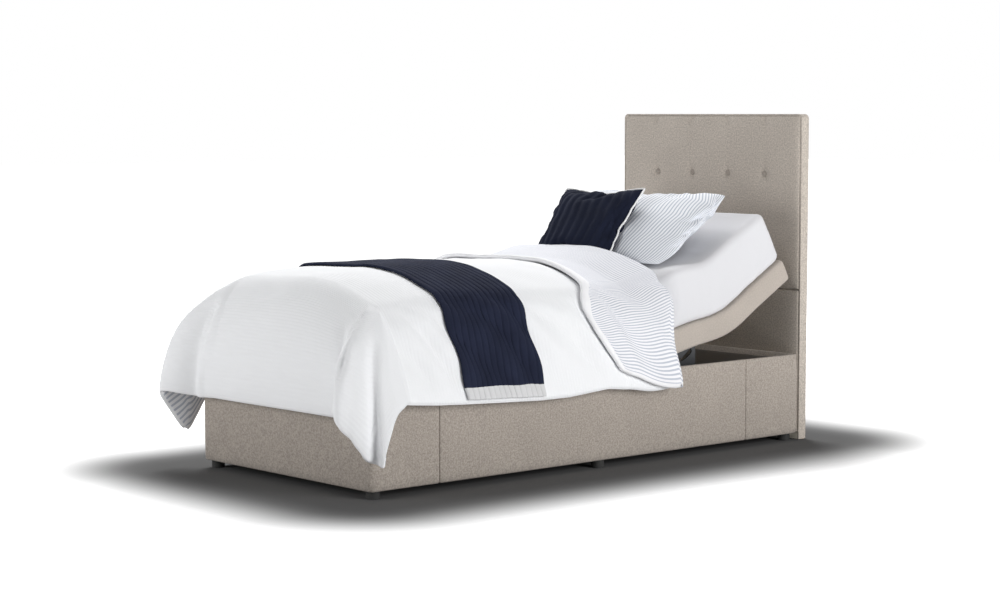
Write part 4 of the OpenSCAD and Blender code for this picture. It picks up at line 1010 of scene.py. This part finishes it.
rows_v = np.concatenate([np.repeat(v_lines[:, None], len(u_lines), 1),
                         cloth_head + np.linspace(0.006, 0.044, len(arc))[:, None] + 0 * u_lines[None, :],
                         np.array(flap_v)])
edge_u = cloth_half - np.abs(u_lines)[None, :] + 0 * rows_v
edge_v = np.minimum(rows_v - cloth_foot, (flap_v[-1] - rows_v))
edge = np.minimum(edge_u, np.maximum(edge_v, 0))
flap_thick = 0.023
loft = np.where(rows_v < cloth_head, duvet_loft(u_lines[None, :], rows_v), flap_thick)
seamed = np.interp(edge, [0, 0.005, 0.013, 0.024, 0.033, 0.037, 0.041, 0.05, 0.12],
                   [0.013, 0.018, 0.020, 0.018, 0.013, 0.011, 0.014, 0.019, 0.060])
plain = np.interp(edge, [0, 0.005, 0.013, 0.024, 0.05, 0.12], [0.013, 0.019, 0.024, 0.027, 0.032, 0.060])
rolled = np.where((rows_v < cloth_head) | (edge_u < edge_v), plain, seamed)
out = grid_normals(duvet_grid)
thickness = np.minimum(loft, rolled)
# thinner where the cloth turns sharply, so that its inner side does not fold over itself
turning = np.linalg.norm(np.gradient(out, axis=1), axis=-1) / np.maximum(
    np.linalg.norm(np.gradient(duvet_grid, axis=1), axis=-1), 1e-9)
narrow = np.minimum(thickness, 1.5 / np.maximum(turning, 1e-6))
for _ in range(6):
    padded = np.pad(narrow, 1, mode="edge")
    around = (padded[:-2, 1:-1] + padded[2:, 1:-1] + padded[1:-1, :-2] + padded[1:-1, 2:]) / 4
    narrow = np.minimum(narrow, 0.5 * narrow + 0.5 * around)
duvet_points, duvet_faces, duvet_kind, source = thick_cloth(duvet_grid, narrow)
rim = np.where(rows_v < cloth_head, edge < 0.010, (edge_u < 0.009) | (edge_v < 0.026))
duvet_kind[rim.reshape(-1)[source][duvet_faces].all(1)] = 2
duvet_uv = np.stack([(0 * rows_v + u_lines[None, :]).reshape(-1), rows_v.reshape(-1)], -1)[source]
duvet_cuts = [("foot", -0.70, "foot"), ("calf", -0.22, "calf"), ("knee", 0.095, "knee"), ("head", 9.0, "hip")]
duvet_parts = in_stretches("duvet_cloth", duvet_points, duvet_faces, to_flat(duvet_points)[:, 1], duvet_cuts,
                           [duvet_face, duvet_reverse, duvet_edge], duvet_uv, duvet_kind)
for part, stretch in duvet_parts:
    if stretch == "foot":
        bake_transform(part)
    else:
        follow(part, stretch)
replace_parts(duvet_parts[0][0], "duvet_foot")
for part, stretch in duvet_parts:
    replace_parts(part, "duvet")
print("duvet points", len(duvet_points), "box", duvet_points.min(0).round(3), duvet_points.max(0).round(3))

# %% [markdown]
# ## The throw
# A navy knitted throw lies across the duvet between the knees and the feet and hangs down both sides, with
# a white ribbed cuff along its short edges. Its ribs run across the bed and stand up about 2 mm, so they
# are folds of the mesh. It follows the duvet's own grid, lifted to lie on its outer cloth.

# %% Throw
throw_foot, throw_head, throw_half, rib_pitch, rib_height = -0.655, -0.325, 0.728, 0.0225, 0.0016
throw_thick, cuff_width = 0.0065, 0.0265
rib_lines = np.linspace(throw_foot, throw_head, 121)
throw_u = np.concatenate([-throw_half + np.array([0, 0.004, 0.012, 0.018, 0.024, 0.027, 0.030]),
                          np.linspace(-throw_half + 0.045, throw_half - 0.045, 88),
                          throw_half - np.array([0.030, 0.027, 0.024, 0.018, 0.012, 0.004, 0])])
throw_base = resample(duvet_middle, (rib_lines - cloth_foot) / cloth_step,
                      (throw_u + cloth_half) / cloth_step)
throw_out = grid_normals(throw_base)
u_grid, v_grid = np.meshgrid(throw_u, rib_lines)
duvet_half = duvet_loft(u_grid, v_grid) / 2
to_rim = cloth_half - np.abs(u_grid)
duvet_half = np.minimum(duvet_half, np.interp(to_rim, [0, 0.013, 0.024, 0.037, 0.05, 0.12],
                                              [0.010, 0.0105, 0.0105, 0.0095, 0.012, 0.030]))
drift = 0.0012 * np.sin(u_grid * 9 + 1) + 0.0008 * np.sin(u_grid * 31)
rib = 1 - 2 * np.abs(np.cos((v_grid + drift - throw_foot) / rib_pitch * math.pi)) ** 14
flat = np.stack([u_grid, v_grid, 0 * u_grid], -1).reshape(-1, 3)
sag = ripple(flat, 0.12, 0.0015, seed=9.0).reshape(rib.shape)
throw_grid = throw_base + throw_out * (duvet_half + 0.0075 + sag + rib_height * rib)[..., None]
points, faces, _, source = thick_cloth(throw_grid, throw_thick + 0 * v_grid)
throw_uv = flat[source, :2]
in_cuff = (np.abs(throw_uv[:, 0]) > throw_half - cuff_width)[faces].all(1)
throw = new_piece("throw_cover", points, faces, [throw_cotton, cuff_cotton], uv=throw_uv, slots=in_cuff)
follow(throw, "calf")
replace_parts(throw, "throw")

# %% [markdown]
# ## Pillow and cushion
# A pillow is two cloths sewn together round the edge and filled. Blown up from flat, its corners stay as
# ears and the sides draw in between them. A cloth simulation does this well with a little pressure and no
# gravity: the seam gathers into small creases by itself. The filled shape is then laid on the sloping
# mattress, pressed flat where it rests.

# %% Sewn and filled
def sewn(name, width, height, step, pressure, belly, frames=24, bump=0.02):
    """Two square cloths sewn along the rim and filled, as points, faces and flat places. belly is how much
    wider the cloth is halfway along its sides, bump how far each stands out at first."""
    nx, ny = int(width / step) + 1, int(height / step) + 1
    xs, ys = np.linspace(-width / 2, width / 2, nx), np.linspace(-height / 2, height / 2, ny)
    points, flat, index = [], [], {}
    for side in (1, -1):
        for j, y in enumerate(ys):
            for i, x in enumerate(xs):
                rim = i in (0, nx - 1) or j in (0, ny - 1)
                if rim and side < 0:
                    index[side, j, i] = index[1, j, i]
                    continue
                index[side, j, i] = len(points)
                inside_x, inside_y = 1 - (2 * x / width) ** 2, 1 - (2 * y / height) ** 2
                uneven = 0.0006 * math.sin(x * 90 + side) * math.sin(y * 70)
                points.append((x * (1 + belly * inside_y), y * (1 + belly * inside_x),
                               side * (inside_x * inside_y) * bump + uneven))
                flat.append((x, y, side))
    faces = []
    for side in (1, -1):
        for j in range(ny - 1):
            for i in range(nx - 1):
                quad = [index[side, j + b, i + a] for a, b in ((0, 0), (1, 0), (1, 1), (0, 1))]
                faces.append(quad if side > 0 else quad[::-1])
    piece = new_piece(name, points, faces, [])
    fill = piece.modifiers.new("filling", "CLOTH")
    fill.settings.quality, fill.settings.mass = 6, 0.25
    fill.settings.tension_stiffness = fill.settings.compression_stiffness = 18
    fill.settings.shear_stiffness, fill.settings.bending_stiffness = 4, 0.15
    fill.settings.use_pressure, fill.settings.uniform_pressure_force = True, pressure
    fill.settings.effector_weights.gravity = 0
    fill.point_cache.frame_start, fill.point_cache.frame_end = 1, frames
    for number in range(1, frames + 1):
        bpy.context.scene.frame_set(number)
    filled = piece.evaluated_get(bpy.context.evaluated_depsgraph_get()).to_mesh()
    result = np.array([v.co[:] for v in filled.vertices])
    bpy.data.objects.remove(piece)
    bpy.context.scene.frame_set(1)
    return result, faces, np.array(flat)


def drawn_out(points, flat, width, height, keep, bow):
    """Straighten the sewn edges: keep says how much of their sag stays, bow how far they swell out."""
    points = points.copy()
    for axis, half, length in ((0, width / 2, height), (1, height / 2, width)):
        for end in (1, -1):
            rim = (np.abs(flat[:, axis] - end * half) < 1e-6).nonzero()[0]
            rim = rim[np.argsort(flat[rim, 1 - axis])]
            along, actual = flat[rim, 1 - axis], points[rim, axis]
            line = np.interp(along, along[[0, -1]], actual[[0, -1]])
            missing = (line - actual) * (1 - keep) + end * bow * (1 - (2 * along / length) ** 2)
            reach = np.clip(0.5 + 0.5 * end * flat[:, axis] / half, 0, 1) ** 2
            points[:, axis] += np.interp(flat[:, 1 - axis], along, missing) * reach
    return points


def stuffed(name, flat_size, step, pressure, belly, keep, bow, size):
    """A sewn and filled shape with its edges drawn out, brought to the size that it has on the bed."""
    points, faces, flat = sewn(name + "_shell", *flat_size, step, pressure, belly)
    points = drawn_out(points, flat, *flat_size, keep, bow)
    span = points.max(0) - points.min(0)
    print(name, "filled to", span.round(3))
    return points * (np.array(size) / span), faces, flat


def laid(points, place, lean):
    """Lean a filled shape back: its middle comes to the place, its height runs up at the lean's angle."""
    c, s = math.cos(math.radians(lean)), math.sin(math.radians(lean))
    y, z = points[:, 1], points[:, 2]
    return np.stack([place[0] + points[:, 0], place[1] + y * c - z * s, place[2] + y * s + z * c], 1)


def above_mattress(points, gap, give=0.03):
    """Press a shape softly flat where it would come nearer to the mattress than the gap."""
    flat = to_flat(points)
    rest = mattress_top + gap
    pressed = rest + give * np.exp((flat[:, 2] - rest - give) / give)
    flat[:, 2] = np.where(flat[:, 2] < rest + give, pressed, flat[:, 2])
    return to_rest(flat)


def filled_piece(name, points, faces, uv, materials):
    piece = new_piece(name, points, faces, materials, uv=uv)
    finer = piece.modifiers.new("finer", "SUBSURF")
    finer.levels = finer.render_levels = 1
    bpy.context.view_layer.objects.active = piece
    with bpy.context.temp_override(object=piece, active_object=piece, selected_objects=[piece]):
        bpy.ops.object.modifier_apply(modifier="finer")
    return piece


pillow_points, pillow_faces, pillow_flat = stuffed("pillow", (0.74, 0.48), 0.0125, 4.0, 0.07, 0.2, 0.012,
                                                   (0.71, 0.43, 0.125))
pillow_points = above_mattress(laid(pillow_points, (0.015, 0.548, 0.785), 36.5), 0.004)
pillow = filled_piece("pillow_case", pillow_points, pillow_faces, pillow_flat[:, [0, 1]], [pillow_cotton])
follow(pillow, "shoulder")
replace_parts(pillow, "pillow")

# %% [markdown]
# The cushion's cover is pleated upright, thirteen folds across its front, and its seam is piped with a
# white cord. The pleats are pressed into the filled shape, and the piping is a thin tube along the sewn
# rim.

# %% Cushion
cushion_wide, cushion_tall, pleats, pleat_depth = 0.44, 0.40, 13, 0.0065
cushion_points, cushion_faces, cushion_flat = stuffed("cushion", (cushion_wide, cushion_tall), 0.0082, 5.0,
                                                      0.06, 0.35, 0.0, (0.40, 0.365, 0.135))
cushion_place, cushion_lean = (-0.08, 0.428, 0.783), 52.5
x, y, side = cushion_flat.T
from_side, from_top = cushion_wide / 2 - np.abs(x), cushion_tall / 2 - np.abs(y)
seam = (np.minimum(from_side, from_top) < 1e-6).nonzero()[0]
fade = np.clip(1 - np.abs(x / 0.22) ** 8, 0, 1) * np.clip(1 - np.abs(y / 0.2) ** 10, 0, 1)
pleat = np.abs(np.cos((x + 0.002 * np.sin(y * 40)) / cushion_wide * pleats * math.pi)) ** 8
cushion_points[:, 2] -= pleat_depth * side * fade * pleat
cushion_world = above_mattress(laid(cushion_points, cushion_place, cushion_lean), 0.006)
cushion = filled_piece("cushion_cover", cushion_world, cushion_faces, cushion_flat[:, :2], [cushion_cotton])
follow(cushion, "shoulder")
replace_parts(cushion, "cushion")
rim = cushion_world[seam[np.argsort(np.arctan2(y[seam], x[seam]), kind="stable")]]
cord, cord_sides, ring = 0.0035, 6, []
across = np.array([0, -math.sin(math.radians(cushion_lean)), math.cos(math.radians(cushion_lean))])
for k, spot in enumerate(rim):
    out = unit(np.cross(unit(rim[(k + 1) % len(rim)] - rim[k - 1]), across))
    for angle in np.radians(np.arange(0, 360, 360 // cord_sides)):
        ring.append(spot + out * (0.0025 + cord * math.cos(angle)) + across * cord * math.sin(angle))
piping_faces = []
for k in range(len(rim)):
    this, following = k * cord_sides, (k + 1) % len(rim) * cord_sides
    for j in range(cord_sides):
        after = (j + 1) % cord_sides
        piping_faces.append((this + j, this + after, following + after, following + j))
piping = new_piece("cushion_piping", ring, piping_faces, [piping_cotton],
                   uv=[(0.01 * (i // cord_sides), 0.004 * (i % cord_sides)) for i in range(len(ring))])
follow(piping, "shoulder")
print("cushion stands to z =", cushion_world[:, 2].max().round(3))
